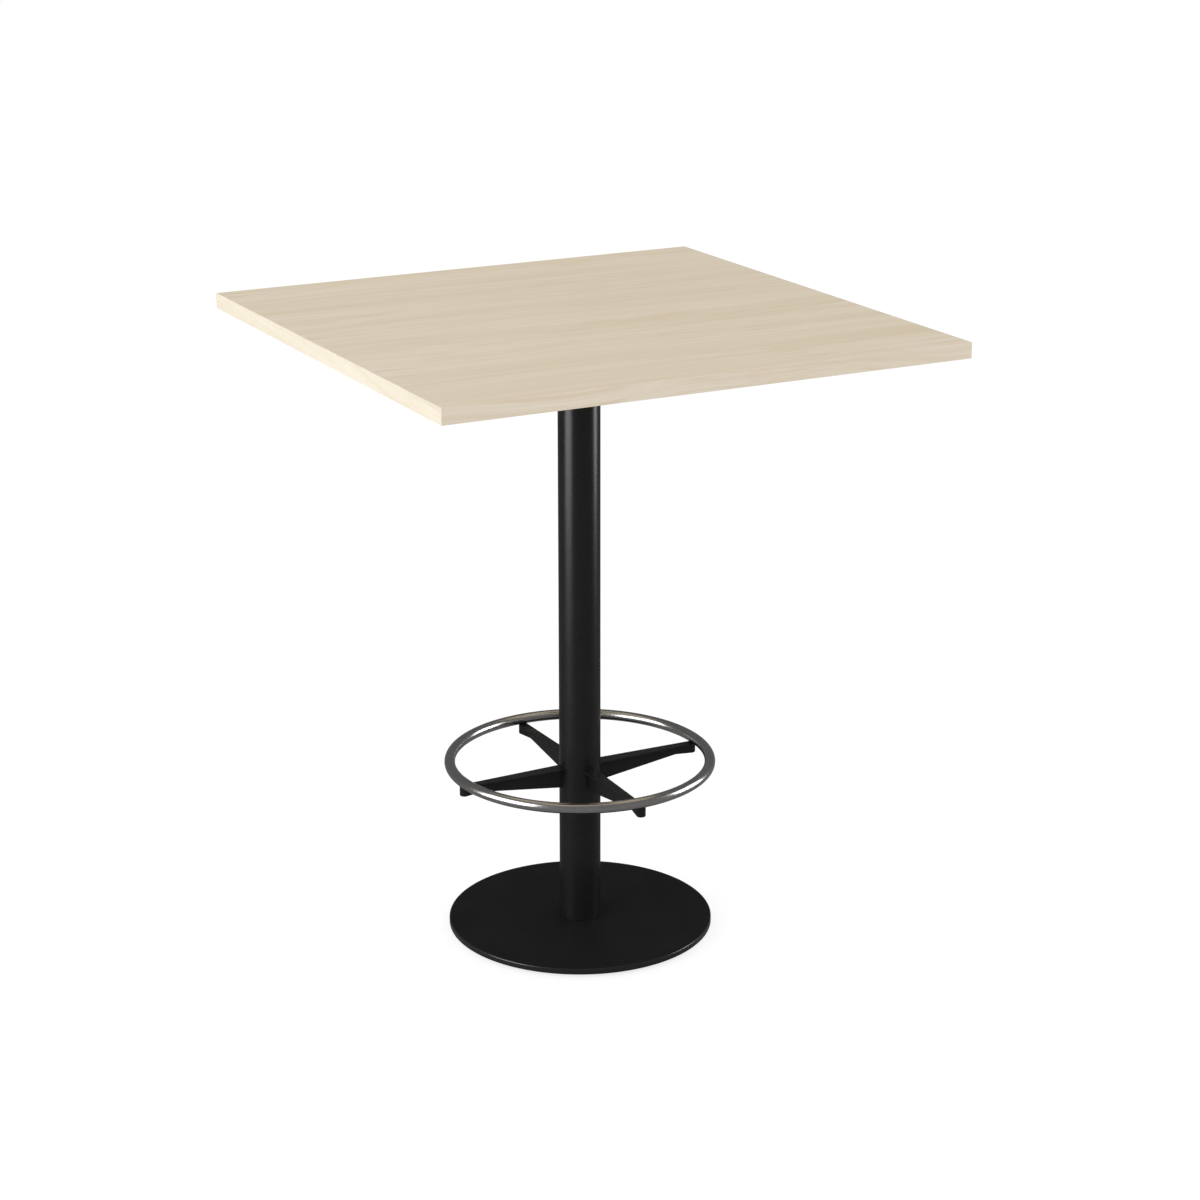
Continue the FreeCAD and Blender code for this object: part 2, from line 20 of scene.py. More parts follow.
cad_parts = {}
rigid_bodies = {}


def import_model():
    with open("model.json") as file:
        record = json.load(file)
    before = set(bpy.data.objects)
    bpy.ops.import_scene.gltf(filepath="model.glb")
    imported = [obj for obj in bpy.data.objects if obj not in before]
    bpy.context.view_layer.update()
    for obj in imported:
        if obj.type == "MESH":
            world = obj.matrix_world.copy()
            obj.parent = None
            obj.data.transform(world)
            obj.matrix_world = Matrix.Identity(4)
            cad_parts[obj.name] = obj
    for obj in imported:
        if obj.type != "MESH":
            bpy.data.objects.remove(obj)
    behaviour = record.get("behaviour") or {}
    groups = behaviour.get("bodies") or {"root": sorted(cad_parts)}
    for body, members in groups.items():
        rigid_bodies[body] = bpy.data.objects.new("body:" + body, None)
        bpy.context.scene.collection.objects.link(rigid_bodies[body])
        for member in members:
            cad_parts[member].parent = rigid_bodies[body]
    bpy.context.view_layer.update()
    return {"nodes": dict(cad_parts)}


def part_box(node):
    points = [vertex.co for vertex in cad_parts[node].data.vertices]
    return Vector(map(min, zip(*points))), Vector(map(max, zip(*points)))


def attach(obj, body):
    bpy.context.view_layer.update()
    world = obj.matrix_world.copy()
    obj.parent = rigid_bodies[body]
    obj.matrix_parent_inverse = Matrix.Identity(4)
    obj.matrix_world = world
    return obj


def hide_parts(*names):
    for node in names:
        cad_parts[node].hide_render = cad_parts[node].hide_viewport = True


LOG = logging.getLogger("pub_table")
MM = 0.001
FULL_TURN = 2.0 * math.pi
QUARTER_TURN = 0.25 * FULL_TURN
SMOOTH_ANGLE = math.radians(32.0)
NEUTRAL_WEIGHT = 50
MERGE_GAP = 1e-6

Colour = tuple[float, float, float]
Point2 = tuple[float, float]
Mesh = bmesh.types.BMesh
Loop = list[bmesh.types.BMVert]
Piece = bpy.types.Object
Socket = bpy.types.NodeSocket
Wire = bpy.types.NodeSocket | float | int | bool | tuple | Vector


class Body(str, Enum):
    """The moving bodies of the table, by the name each has in the frame."""

    TABLE = "table"
    PAD = "pad"
    STUD = "stud"

    def numbered(self, number: int) -> str:
        """The name of one of several like bodies."""
        return f"{self.value}_{number}"


class Slot(str, Enum):
    """The record's material slots of the pieces built here; the script lists them but gives no
    piece a slot.
    """

    EDGE = "wood_edge"
    COATING = "black_coating"
    POLISHED = "polished_steel"
    ZINC = "zinc_steel"
    BLACK_SCREW = "black_screw"
    PLASTIC = "glide_plastic"


class GrainPlane(Enum):
    """Which way a wood face lies: the axis along its grain, then the axis across it."""

    TOP = ("X", "Y")
    FRONT = ("X", "Z")
    SIDE = ("Y", "Z")


class Tool(Enum):
    """What a tool does to a piece."""

    CUTS = "DIFFERENCE"
    JOINS = "UNION"


def srgb(*levels: int) -> Colour:
    """Turn a colour of 0 to 255 levels into linear light.

    Args:
        *levels: The red, green and blue level.

    Returns:
        The linear colour, each part from 0 to 1.
    """
    parts = [level / 255.0 for level in levels]
    return tuple(part / 12.92 if part <= 0.04045 else ((part + 0.055) / 1.055) ** 2.4
                 for part in parts)


# ---- node trees ---------------------------------------------------------------------------


class NodeGraph:
    """A node tree with short calls for adding and linking its nodes."""

    def __init__(self, tree: bpy.types.NodeTree) -> None:
        """Take the tree to build in."""
        self.tree = tree

    def add(self, kind: str, inputs: dict[str | int, Wire] | None = None,
            **settings: object) -> bpy.types.Node:
        """Add a node.

        Args:
            kind: The node's type.
            inputs: A value or an output socket for each named or numbered input.
            **settings: Properties of the node itself.

        Returns:
            The new node.
        """
        node = self.tree.nodes.new(kind)
        for key, value in settings.items():
            setattr(node, key, value)
        for key, value in (inputs or {}).items():
            self.feed(node.inputs[key], value)
        return node

    def feed(self, socket: Socket, value: Wire) -> None:
        """Link an output to a socket, or set the socket's own value.

        Args:
            socket: The input socket.
            value: The output socket or the plain value that it takes.
        """
        if isinstance(value, Socket):
            self.tree.links.new(value, socket)
        else:
            socket.default_value = value

    def math(self, operation: str, first: Wire, second: Wire = 0.0, third: Wire = 0.0) -> Socket:
        """The result of a Math node."""
        return self.add("ShaderNodeMath", {0: first, 1: second, 2: third},
                        operation=operation).outputs[0]

    def combine(self, x: Wire = 0.0, y: Wire = 0.0, z: Wire = 0.0) -> Socket:
        """A vector from three parts."""
        return self.add("ShaderNodeCombineXYZ", {0: x, 1: y, 2: z}).outputs[0]

    def mapped(self, value: Wire, low: Wire = 0.0, high: Wire = 1.0, start: float = 0.0,
               end: float = 1.0, **settings: object) -> Socket:
        """A value mapped from the range of start to end onto the range of low to high."""
        sizes = {"Value": value, "From Min": start, "From Max": end, "To Min": low, "To Max": high}
        return self.add("ShaderNodeMapRange", sizes, **settings).outputs["Result"]


class ShaderGraph(NodeGraph):
    """The node tree of one material, with the textures that the finishes use."""

    def __init__(self, name: str) -> None:
        """Start a material with a Principled shader and object coordinates.

        Args:
            name: The material's name.
        """
        self.material = bpy.data.materials.new(name)
        self.material.use_nodes = True
        super().__init__(self.material.node_tree)
        self.shader = self.tree.nodes["Principled BSDF"]
        self.place = self.add("ShaderNodeTexCoord").outputs["Object"]

    def noise(self, vector: Wire, scale: float = 1.0, detail: float = 3.0) -> Socket:
        """The value of a noise texture, about 0.5 in the middle."""
        sizes = {"Vector": vector, "Scale": scale, "Detail": detail}
        return self.add("ShaderNodeTexNoise", sizes).outputs["Fac"]

    def ramp(self, factor: Wire, stops: Sequence[tuple[float, Colour]]) -> Socket:
        """Read a colour from stops along a ramp.

        Args:
            factor: Where on the ramp to read.
            stops: The place and colour of each stop.

        Returns:
            The colour.
        """
        node = self.add("ShaderNodeValToRGB", {"Fac": factor})
        elements = node.color_ramp.elements
        while len(elements) < len(stops):
            elements.new(1.0)
        for element, (position, colour) in zip(elements, stops):
            element.position = position
            element.color = (*colour, 1.0)
        return node.outputs["Color"]

    def bump(self, height: Wire, depth: float, strength: float = 1.0) -> None:
        """Give the shader a fine relief of a stated depth in metres."""
        node = self.add("ShaderNodeBump", {"Height": height, "Distance": depth,
                                           "Strength": strength})
        self.feed(self.shader.inputs["Normal"], node.outputs["Normal"])

    def surface(self, **inputs: Wire) -> None:
        """Set inputs of the shader.

        Args:
            **inputs: A value or socket for each, named with _ for a space.
        """
        names = {socket.name.lower().replace(" ", "_"): socket for socket in self.shader.inputs}
        for key, value in inputs.items():
            self.feed(names[key], value)


# ---- finishes -----------------------------------------------------------------------------


class Layer(NamedTuple):
    """A layer of a wood grain: noise at so many parts per metre along and across the grain."""

    along: float
    across: float
    detail: float
    share: float = 0.0


BANDS = Layer(0.9, 13.0, 2.0, 0.40)
STREAKS = Layer(1.8, 48.0, 3.0, 0.24)
LINES = Layer(5.0, 190.0, 2.0)
FIBRES = Layer(18.0, 700.0, 1.0, 0.05)
ARCHES = Layer(0.7, 75.0, 3.0, 0.31)
FLECKS = Layer(8.0, 150.0, 1.0, 0.22)
FLECK_SPOTS = Layer(1.6, 6.0, 1.0)
PORES = Layer(55.0, 1300.0, 1.0, 0.03)


@dataclass
class Grain:
    """The layers of a wood grain, by the distances along and across it."""

    graph: ShaderGraph
    along: Wire
    across: Wire
    gathered: Point2 = (0.43, 0.55)
    dark: Point2 = (0.58, 0.72)
    pale: Point2 = (0.38, 0.26)
    pore: float = 0.68
    arch_slope: float = 0.09
    arch_depth: float = 0.05

    def layer(self, layer: Layer) -> Socket:
        """Noise stretched along the grain, about 0.5 in the middle."""
        place = self.graph.combine(self.graph.math("MULTIPLY", self.along, layer.along),
                                   self.graph.math("MULTIPLY", self.across, layer.across))
        return self.graph.noise(place, detail=layer.detail)

    def flecks(self) -> Socket:
        """Lay short tapered marks, dark and pale, that gather in a few places.

        Returns:
            What the marks add to the tone: more is darker.
        """
        graph = self.graph
        marks = self.layer(FLECKS)
        gathered = graph.mapped(self.layer(FLECK_SPOTS), 0.0, 1.0, *self.gathered)
        both = graph.math("SUBTRACT", graph.mapped(marks, 0.0, 1.0, *self.dark),
                          graph.mapped(marks, 0.0, 1.0, *self.pale))
        return graph.math("MULTIPLY", gathered, graph.math("MULTIPLY", both, FLECKS.share))

    def pores(self) -> Socket:
        """Fine short pores: 1 in a pore and 0 between them."""
        return self.graph.math("GREATER_THAN", self.layer(PORES), self.pore)

    def arches(self) -> Socket:
        """Lay the long arches that a board shows where it is cut across its growth rings.

        Returns:
            A value about 0.5 that rises and falls over arches of uneven width.
        """
        graph = self.graph
        depth = graph.math("MULTIPLY_ADD", self.along, self.arch_slope, self.arch_depth)
        squares = graph.math("MULTIPLY_ADD", self.across, self.across,
                             graph.math("MULTIPLY", depth, depth))
        return Grain(graph, self.along, graph.math("SQRT", squares)).layer(ARCHES)


@dataclass(frozen=True)
class Finish:
    """A surface finish, made once as a material."""

    name: str

    def build(self) -> bpy.types.Material:
        """Make the material.

        Returns:
            The material.
        """
        graph = ShaderGraph(self.name)
        self.paint(graph)
        return graph.material

    def paint(self, graph: ShaderGraph) -> None:
        """Set up the shader, in each kind of finish's own way."""
        raise NotImplementedError


@dataclass(frozen=True)
class WoodFinish(Finish):
    """A printed light wood grain, on a laminate sheet or on an edge band."""

    plane: GrainPlane
    across: float = 1.0
    along: float = 1.0
    offset: float = 0.0
    sway_rate: float = 1.2
    sway_across: float = 3.0
    sway_reach: float = 0.07
    sway_detail: float = 2.0
    slant: float = 0.0
    line_share: float = 0.09
    light: Colour = srgb(230, 219, 198)
    middle: Colour = srgb(226, 212, 188)
    dark: Colour = srgb(220, 204, 176)
    contrast: float = 0.13
    specular: float = 0.35
    smoothest: float = 0.44
    roughest: float = 0.54
    relief: float = 0.00003
    relief_strength: float = 0.5

    def paint(self, graph: ShaderGraph) -> None:
        """Lay swaying streaks of several widths, arches, flecks and pores.

        Args:
            graph: The material's graph.
        """
        axes = graph.add("ShaderNodeSeparateXYZ", {0: graph.place}).outputs
        along = graph.math("MULTIPLY", axes[self.plane.value[0]], self.along)
        across = graph.math("MULTIPLY_ADD", axes[self.plane.value[1]], self.across, self.offset)
        sway = Grain(graph, along, across).layer(
            Layer(self.sway_rate, self.sway_across, self.sway_detail))
        slanted = graph.math("MULTIPLY_ADD", along, self.slant, across)
        grain = Grain(graph, along, graph.math("MULTIPLY_ADD", sway, self.sway_reach, slanted))

        lines, fibres = grain.layer(LINES), grain.layer(FIBRES)
        tone = grain.flecks()
        for layer, share in ((grain.layer(BANDS), BANDS.share),
                             (grain.layer(STREAKS), STREAKS.share),
                             (lines, self.line_share), (fibres, FIBRES.share),
                             (grain.arches(), ARCHES.share - self.line_share),
                             (grain.pores(), PORES.share)):
            tone = graph.math("MULTIPLY_ADD", layer, share, tone)
        colour = graph.ramp(tone, [(0.5 - self.contrast, self.light), (0.5, self.middle),
                                   (0.5 + self.contrast, self.dark)])
        graph.surface(base_color=colour, specular_ior_level=self.specular,
                      roughness=graph.mapped(lines, self.smoothest, self.roughest))
        graph.bump(fibres, self.relief, self.relief_strength)


@dataclass(frozen=True)
class CloudedFinish(Finish):
    """An even surface with a faint cloud in its colour and gloss, over a fine relief."""

    colour: Colour
    roughness: float
    specular: float = 0.5
    metallic: float = 0.0
    variation: float = 0.04
    tint: Colour = (1.0, 1.0, 1.0)
    cloud_scale: float = 14.0
    cloud_detail: float = 3.0
    cloud_reach: float = 0.2
    relief_scale: float = 900.0
    relief_depth: float = 0.000002

    def paint(self, graph: ShaderGraph) -> None:
        """Lay the cloud and the relief.

        Args:
            graph: The material's graph.
        """
        cloud = graph.noise(graph.place, self.cloud_scale, self.cloud_detail)
        tinted = tuple(share * part for share, part in zip(self.tint, self.colour))
        graph.surface(
            base_color=graph.ramp(cloud, [(0.5 - self.cloud_reach, tinted),
                                          (0.5 + self.cloud_reach, self.colour)]),
            roughness=graph.mapped(cloud, self.roughness - self.variation,
                                   self.roughness + self.variation),
            specular_ior_level=self.specular, metallic=self.metallic)
        graph.bump(graph.noise(graph.place, self.relief_scale, detail=2.0), self.relief_depth)


@dataclass(frozen=True)
class PowderCoat(CloudedFinish):
    """A black powder coat with its fine orange peel."""

    colour: Colour = (0.012125, 0.011875, 0.012)
    roughness: float = 0.28
    specular: float = 0.22
    variation: float = 0.03
    tint: Colour = (0.8, 0.8, 0.8)
    relief_scale: float = 620.0


@dataclass(frozen=True)
class BareMetal(CloudedFinish):
    """A metal surface: polished, zinc plated, turned or blackened."""

    metallic: float = 1.0
    tint: Colour = (0.9, 0.9, 0.9)
    cloud_scale: float = 22.0
    cloud_detail: float = 4.0


@dataclass(frozen=True)
class MouldedNylon(CloudedFinish):
    """The black nylon of the glide pads, with the fine texture of the mould."""

    colour: Colour = (0.03, 0.03, 0.03)
    roughness: float = 0.56
    specular: float = 0.4
    variation: float = 0.06
    tint: Colour = (0.6, 0.6, 0.6333)
    cloud_scale: float = 1500.0
    cloud_detail: float = 2.0
    cloud_reach: float = 0.15
    relief_scale: float = 1500.0
    relief_depth: float = 0.00002


@dataclass(frozen=True)
class Chipboard(Finish):
    """The pressed chips of the board's core."""

    light: Colour = srgb(205, 182, 142)
    dark: Colour = srgb(160, 128, 88)
    roughness: float = 0.85
    chip_scale: float = 260.0
    chip_share: float = 0.5
    dust_scale: float = 900.0
    dust_share: float = 0.5
    tones: Point2 = (0.25, 0.75)
    relief_depth: float = 0.0002

    def paint(self, graph: ShaderGraph) -> None:
        """Lay chips with dust between them.

        Args:
            graph: The material's graph.
        """
        chips = graph.add("ShaderNodeTexVoronoi", {"Vector": graph.place,
                                                   "Scale": self.chip_scale})
        dust = graph.noise(graph.place, self.dust_scale, detail=4.0)
        chip = graph.math("MULTIPLY", chips.outputs["Distance"], self.chip_share)
        tone = graph.math("MULTIPLY_ADD", dust, self.dust_share, chip)
        colour = graph.ramp(tone, list(zip(self.tones, (self.dark, self.light))))
        graph.surface(base_color=colour, roughness=self.roughness)
        graph.bump(tone, self.relief_depth)


class Finishes:
    """Every finish of the table, each made once."""

    def __init__(self) -> None:
        """Build the materials."""
        band = {"across": 3.0, "along": 1.6, "sway_detail": 0.0, "line_share": 0.20}
        self.top = WoodFinish("laminate_grain", GrainPlane.TOP).build()
        self.front_edge = WoodFinish(
            "front_band_grain", GrainPlane.FRONT, offset=-3.03, sway_rate=2.2, sway_reach=0.20,
            light=srgb(235, 224, 205), middle=srgb(230, 217, 196), dark=srgb(223, 206, 180),
            contrast=0.105, **band).build()
        # The side bands' tone, paler and bluer than the top's, is painted sheen that stands in for
        # the lamps' gloss on the wood; the grain itself is the laminate's own.
        self.side_edge = WoodFinish(
            "side_band_grain", GrainPlane.SIDE, offset=-3.0, sway_rate=1.6, sway_reach=0.14,
            light=srgb(233, 226, 209), middle=srgb(228, 219, 200), dark=srgb(221, 208, 184),
            slant=-0.17, contrast=0.15, **band).build()
        matt = (0.0135, 0.01325, 0.01325)
        self.tube = PowderCoat("satin_black_coat").build()
        self.disc = PowderCoat("matt_black_coat", matt, 0.45, 0.03, relief_scale=800.0).build()
        self.rim = PowderCoat("burnished_black_coat", matt, 0.27, 0.46,
                              relief_scale=800.0).build()
        self.polished = BareMetal("polished_steel", (0.62, 0.605, 0.595), 0.20, variation=0.02,
                                  relief_depth=0.00000015).build()
        self.zinc = BareMetal("zinc_plate", (0.66, 0.67, 0.69), 0.34, variation=0.06).build()
        self.turned = BareMetal("turned_steel", (0.50, 0.50, 0.51), 0.38, variation=0.06).build()
        self.black_oxide = BareMetal("black_oxide", (0.035, 0.035, 0.037), 0.42).build()
        self.nylon = MouldedNylon("moulded_nylon").build()
        self.core = Chipboard("pressed_chips").build()


# ---- meshes -------------------------------------------------------------------------------


def arc(centre: Point2, radius: float, start: float, end: float, steps: int) -> list[Point2]:
    """Points along an arc of a circle.

    Args:
        centre: The circle's centre.
        radius: Its radius.
        start: The first point's angle in degrees.
        end: The last point's angle in degrees.
        steps: How many parts the arc has.

    Returns:
        steps + 1 points.
    """
    angles = [math.radians(start + (end - start) * step / steps) for step in range(steps + 1)]
    return [(centre[0] + radius * math.cos(a), centre[1] + radius * math.sin(a)) for a in angles]


def hexagon(flats: float, turn: float = 0.0, limit: float = math.inf) -> Callable[[float], float]:
    """The outline of a hexagon about Z.

    Args:
        flats: The distance from flat to flat.
        turn: How far it is turned from where a corner lies on X.
        limit: The radius that its corners are turned down to.

    Returns:
        A function that gives the outline's distance from Z at an angle.
    """
    sector = FULL_TURN / 6.0
    return lambda angle: min(limit, flats / 2.0 / math.cos((angle + turn) % sector - sector / 2.0))


def loop_at(bm: Mesh, reach: float | Callable[[float], float], height: float,
            segments: int) -> Loop:
    """Add a level loop of vertices about Z.

    Args:
        bm: The mesh.
        reach: The loop's distance from Z, or a function that gives it at an angle.
        height: The loop's level.
        segments: How many vertices it has.

    Returns:
        The vertices.
    """
    verts = []
    for step in range(segments):
        angle = FULL_TURN * step / segments
        radius = reach(angle) if callable(reach) else reach
        verts.append(bm.verts.new((radius * math.cos(angle), radius * math.sin(angle), height)))
    return verts


def bridge(bm: Mesh, loops: Sequence[Loop]) -> None:
    """Join closed loops of as many vertices with quads, each to the next.

    Args:
        bm: The mesh.
        loops: The loops, in order.
    """
    for lower, upper in zip(loops, loops[1:]):
        for here in range(len(lower)):
            there = (here + 1) % len(lower)
            bm.faces.new((lower[here], lower[there], upper[there], upper[here]))


def enclose(bm: Mesh, loops: Sequence[Loop]) -> None:
    """Make a closed body of loops in order, capped at both ends, with its faces outwards.

    Args:
        bm: The mesh.
        loops: The loops, in order.
    """
    bridge(bm, loops)
    bm.faces.new(loops[0])
    bm.faces.new(loops[-1])
    bmesh.ops.recalc_face_normals(bm, faces=bm.faces)


def turned(profile: Sequence[Point2], segments: int) -> Mesh:
    """Turn a profile about Z into a closed body.

    Args:
        profile: (radius, height) points in order; the ends join, or lie on the axis.
        segments: How many parts a turn has.

    Returns:
        The body, with its faces outwards.
    """
    bm = bmesh.new()
    on_axis = profile[0][0] == 0.0 and profile[-1][0] == 0.0
    loops = [loop_at(bm, radius, height, segments)
             for radius, height in (profile[1:-1] if on_axis else profile)]
    if on_axis:
        enclose(bm, loops)
    else:
        bridge(bm, [*loops, loops[0]])
        bmesh.ops.recalc_face_normals(bm, faces=bm.faces)
    return bm


def as_object(name: str, bm: Mesh) -> Piece:
    """Put a finished bmesh into the scene as an object at the origin, and free the bmesh.

    Args:
        name: The name of the object and its mesh.
        bm: The bmesh.

    Returns:
        The object.
    """
    mesh = bpy.data.meshes.new(name)
    bm.to_mesh(mesh)
    bm.free()
    item = bpy.data.objects.new(name, mesh)
    bpy.context.scene.collection.objects.link(item)
    return item


def discard(item: Piece) -> None:
    """Remove a helper object, which goes with its mesh."""
    bpy.data.meshes.remove(item.data)


def settle(item: Piece) -> None:
    """Turn an object's modifiers into a plain mesh of its own.

    Args:
        item: The object.
    """
    depsgraph = bpy.context.evaluated_depsgraph_get()
    mesh = bpy.data.meshes.new_from_object(item.evaluated_get(depsgraph), depsgraph=depsgraph,
                                           preserve_all_data_layers=True)
    old = item.data
    item.modifiers.clear()
    item.data = mesh
    bpy.data.meshes.remove(old)
    mesh.name = item.name


def carve(item: Piece, tool: Piece, use: Tool = Tool.CUTS) -> None:
    """Cut a tool away from an object, or join it, and remove the tool.

    Args:
        item: The object.
        tool: The tool.
        use: What the tool does.
    """
    modifier = item.modifiers.new("carve", "BOOLEAN")
    modifier.operation = use.value
    modifier.solver = "EXACT"
    modifier.object = tool
    settle(item)
    discard(tool)


def shade(item: Piece) -> None:
    """Shade an object smooth, with sharp edges kept and flat faces left flat.

    Args:
        item: The object.
    """
    item.data.shade_smooth()
    item.data.set_sharp_from_angle(angle=SMOOTH_ANGLE)
    modifier = item.modifiers.new("normals", "WEIGHTED_NORMAL")
    modifier.keep_sharp = True
    modifier.weight = NEUTRAL_WEIGHT
    settle(item)


def dress(item: Piece, material: bpy.types.Material) -> None:
    """Give an object one material."""
    item.data.materials.clear()
    item.data.materials.append(material)


def deliver(item: Piece, body: str, nodes: Iterable[str] = ()) -> None:
    """Put a finished piece on its body.

    Args:
        item: The piece.
        body: The body that it moves with.
        nodes: The frame nodes that it stands for.
    """
    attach(item, body)
    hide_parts(*nodes)
    faces = sum(len(polygon.vertices) - 2 for polygon in item.data.polygons)
    LOG.info("%-24s %6d triangles", item.name, faces)


# ---- geometry nodes -----------------------------------------------------------------------


class GeometryTree(NodeGraph):
    """A Geometry Nodes tree with named inputs, built one node at a time."""

    def __init__(self, name: str) -> None:
        """Start a tree with a geometry output.

        Args:
            name: The tree's name.
        """
        super().__init__(bpy.data.node_groups.new(name, "GeometryNodeTree"))
        self.tree.interface.new_socket("Geometry", in_out="OUTPUT",
                                       socket_type="NodeSocketGeometry")
        self.identifiers: dict[str, str] = {}
        self.inlet = self.tree.nodes.new("NodeGroupInput")
        self.outlet = self.tree.nodes.new("NodeGroupOutput")

    def size(self, name: str, kind: str = "NodeSocketFloat") -> Socket:
        """Add a named input.

        Args:
            name: The input's name.
            kind: Its socket type.

        Returns:
            The socket that carries it inside the tree.
        """
        made = self.tree.interface.new_socket(name, in_out="INPUT", socket_type=kind)
        self.identifiers[name] = made.identifier
        return self.inlet.outputs[name]

    def copies(self, points: Socket, turn: Wire = (0.0, 0.0, 0.0)) -> Socket:
        """Put a copy of the input named Piece on each point.

        Args:
            points: The points.
            turn: The rotation of each copy.

        Returns:
            The copies.
        """
        source = self.add("GeometryNodeObjectInfo",
                          {"Object": self.size("Piece", "NodeSocketObject")})
        return self.add("GeometryNodeInstanceOnPoints", {
            "Points": points, "Instance": source.outputs["Geometry"],
            "Rotation": turn}).outputs["Instances"]

    def finish(self, geometry: Socket, turn: Wire = 0.0) -> None:
        """Lift the result by the input named Height, turn it, give it its material and end.

        Args:
            geometry: The result, about Z at the origin.
            turn: Its turn about Z.
        """
        placed = self.add("GeometryNodeTransform", {
            "Geometry": geometry, "Translation": self.combine(z=self.size("Height")),
            "Rotation": self.combine(z=turn)})
        real = self.add("GeometryNodeRealizeInstances", {"Geometry": placed.outputs[0]})
        dressed = self.add("GeometryNodeSetMaterial", {
            "Geometry": real.outputs[0],
            "Material": self.size("Material", "NodeSocketMaterial")})
        self.feed(self.outlet.inputs["Geometry"], dressed.outputs[0])

    def grow(self, name: str, values: dict[str, object]) -> Piece:
        """Run the tree.

        Args:
            name: The name of the piece that it makes.
            values: A value for each named input.

        Returns:
            An object at the origin whose plain mesh is the tree's result.
        """
        item = as_object(name, bmesh.new())
        modifier = item.modifiers.new(self.tree.name, "NODES")
        modifier.node_group = self.tree
        for key, value in values.items():
            modifier[self.identifiers[key]] = value
        settle(item)
        return item


class CircleOfCopies(GeometryTree):
    """Copies of one piece on a level circle about Z, each turned to face outwards."""

    def __init__(self) -> None:
        """Build the tree."""
        super().__init__("circle_of_copies")
        count = self.size("Count", "NodeSocketInt")
        circle = self.add("GeometryNodeMeshCircle", {"Vertices": count,
                                                     "Radius": self.size("Radius")})
        index = self.add("GeometryNodeInputIndex").outputs[0]
        angle = self.math("MULTIPLY", index, self.math("DIVIDE", FULL_TURN, count))
        self.finish(self.copies(circle.outputs["Mesh"], self.combine(z=angle)),
                    self.size("Start Angle"))


class SquareOfCopies(GeometryTree):
    """Copies of one piece on the corners and the side middles of a level square."""

    def __init__(self) -> None:
        """Build the tree."""
        super().__init__("square_of_copies")
        side = self.size("Side")
        grid = self.add("GeometryNodeMeshGrid", {
            "Size X": side, "Size Y": side, "Vertices X": 3, "Vertices Y": 3})
        place = self.add("GeometryNodeInputPosition")
        reach = self.add("ShaderNodeVectorMath", {0: place.outputs[0]}, operation="LENGTH")
        middle = self.math("LESS_THAN", reach.outputs["Value"], MM)
        ring = self.add("GeometryNodeDeleteGeometry", {
            "Geometry": grid.outputs["Mesh"], "Selection": middle}, domain="POINT")
        self.finish(self.copies(ring.outputs["Geometry"]))


class BentTube(GeometryTree):
    """A round tube bent to a level circle about Z."""

    def __init__(self) -> None:
        """Build the tree."""
        super().__init__("bent_tube")
        path, section = (self.add("GeometryNodeCurvePrimitiveCircle", {
            "Resolution": self.size(steps, "NodeSocketInt"),
            "Radius": self.size(radius)}, mode="RADIUS").outputs["Curve"]
            for steps, radius in (("Steps Around", "Ring Radius"),
                                  ("Section Steps", "Tube Radius")))
        swept = self.add("GeometryNodeCurveToMesh", {"Curve": path, "Profile Curve": section})
        smooth = self.add("GeometryNodeSetShadeSmooth", {"Geometry": swept.outputs["Mesh"]})
        self.finish(smooth.outputs["Geometry"])


def ring_sizes() -> dict[str, float]:
    """Read the foot ring from the frame.

    Returns:
        The ring's radius at its tube's middle, the tube's radius and the ring's level.
    """
    low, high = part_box("foot_ring")
    tube = (high.z - low.z) / 2.0
    return {"Ring Radius": high.x - tube, "Tube Radius": tube, "Height": (low.z + high.z) / 2.0}


# ---- fasteners ----------------------------------------------------------------------------


@dataclass
class SocketScrew:
    """A screw with a hex socket: its seat is at z = 0, its head above and its shank below."""

    head: Sequence[Point2]
    shank_radius: float
    shank_length: float
    socket_flats: float
    socket_depth: float
    tip: float = 0.6 * MM
    segments: int = 48

    def build(self) -> Piece:
        """Make the screw.

        Returns:
            The screw, its axis on Z.
        """
        bm = bmesh.new()
        face = self.head[-1][1]
        socket = hexagon(self.socket_flats)
        outline = [(self.shank_radius - self.tip, -self.shank_length),
                   (self.shank_radius, self.tip - self.shank_length), (self.shank_radius, 0.0),
                   *self.head, (socket, face), (socket, face - self.socket_depth)]
        enclose(bm, [loop_at(bm, reach, height, self.segments) for reach, height in outline])
        return as_object("screw", bm)

    def fit(self, name: str, tree: GeometryTree, places: dict[str, object],
            node: str, sink: float = 0.0) -> None:
        """Fit copies of the screw with their heads down, as one piece.

        Args:
            name: The piece's name.
            tree: The tree that places the copies.
            places: The tree's inputs, apart from the screw.
            node: The frame node that the copies stand for.
            sink: How far the head goes into its seat.
        """
        screw = self.build()
        screw.data.transform(Matrix.Translation((0.0, 0.0, -sink)))
        screw.data.transform(Matrix.Rotation(math.pi, 4, "X"))
        copies = tree.grow(name, {**places, "Piece": screw})
        discard(screw)
        shade(copies)
        deliver(copies, Body.TABLE, [node])


# ---- sub-assemblies -----------------------------------------------------------------------


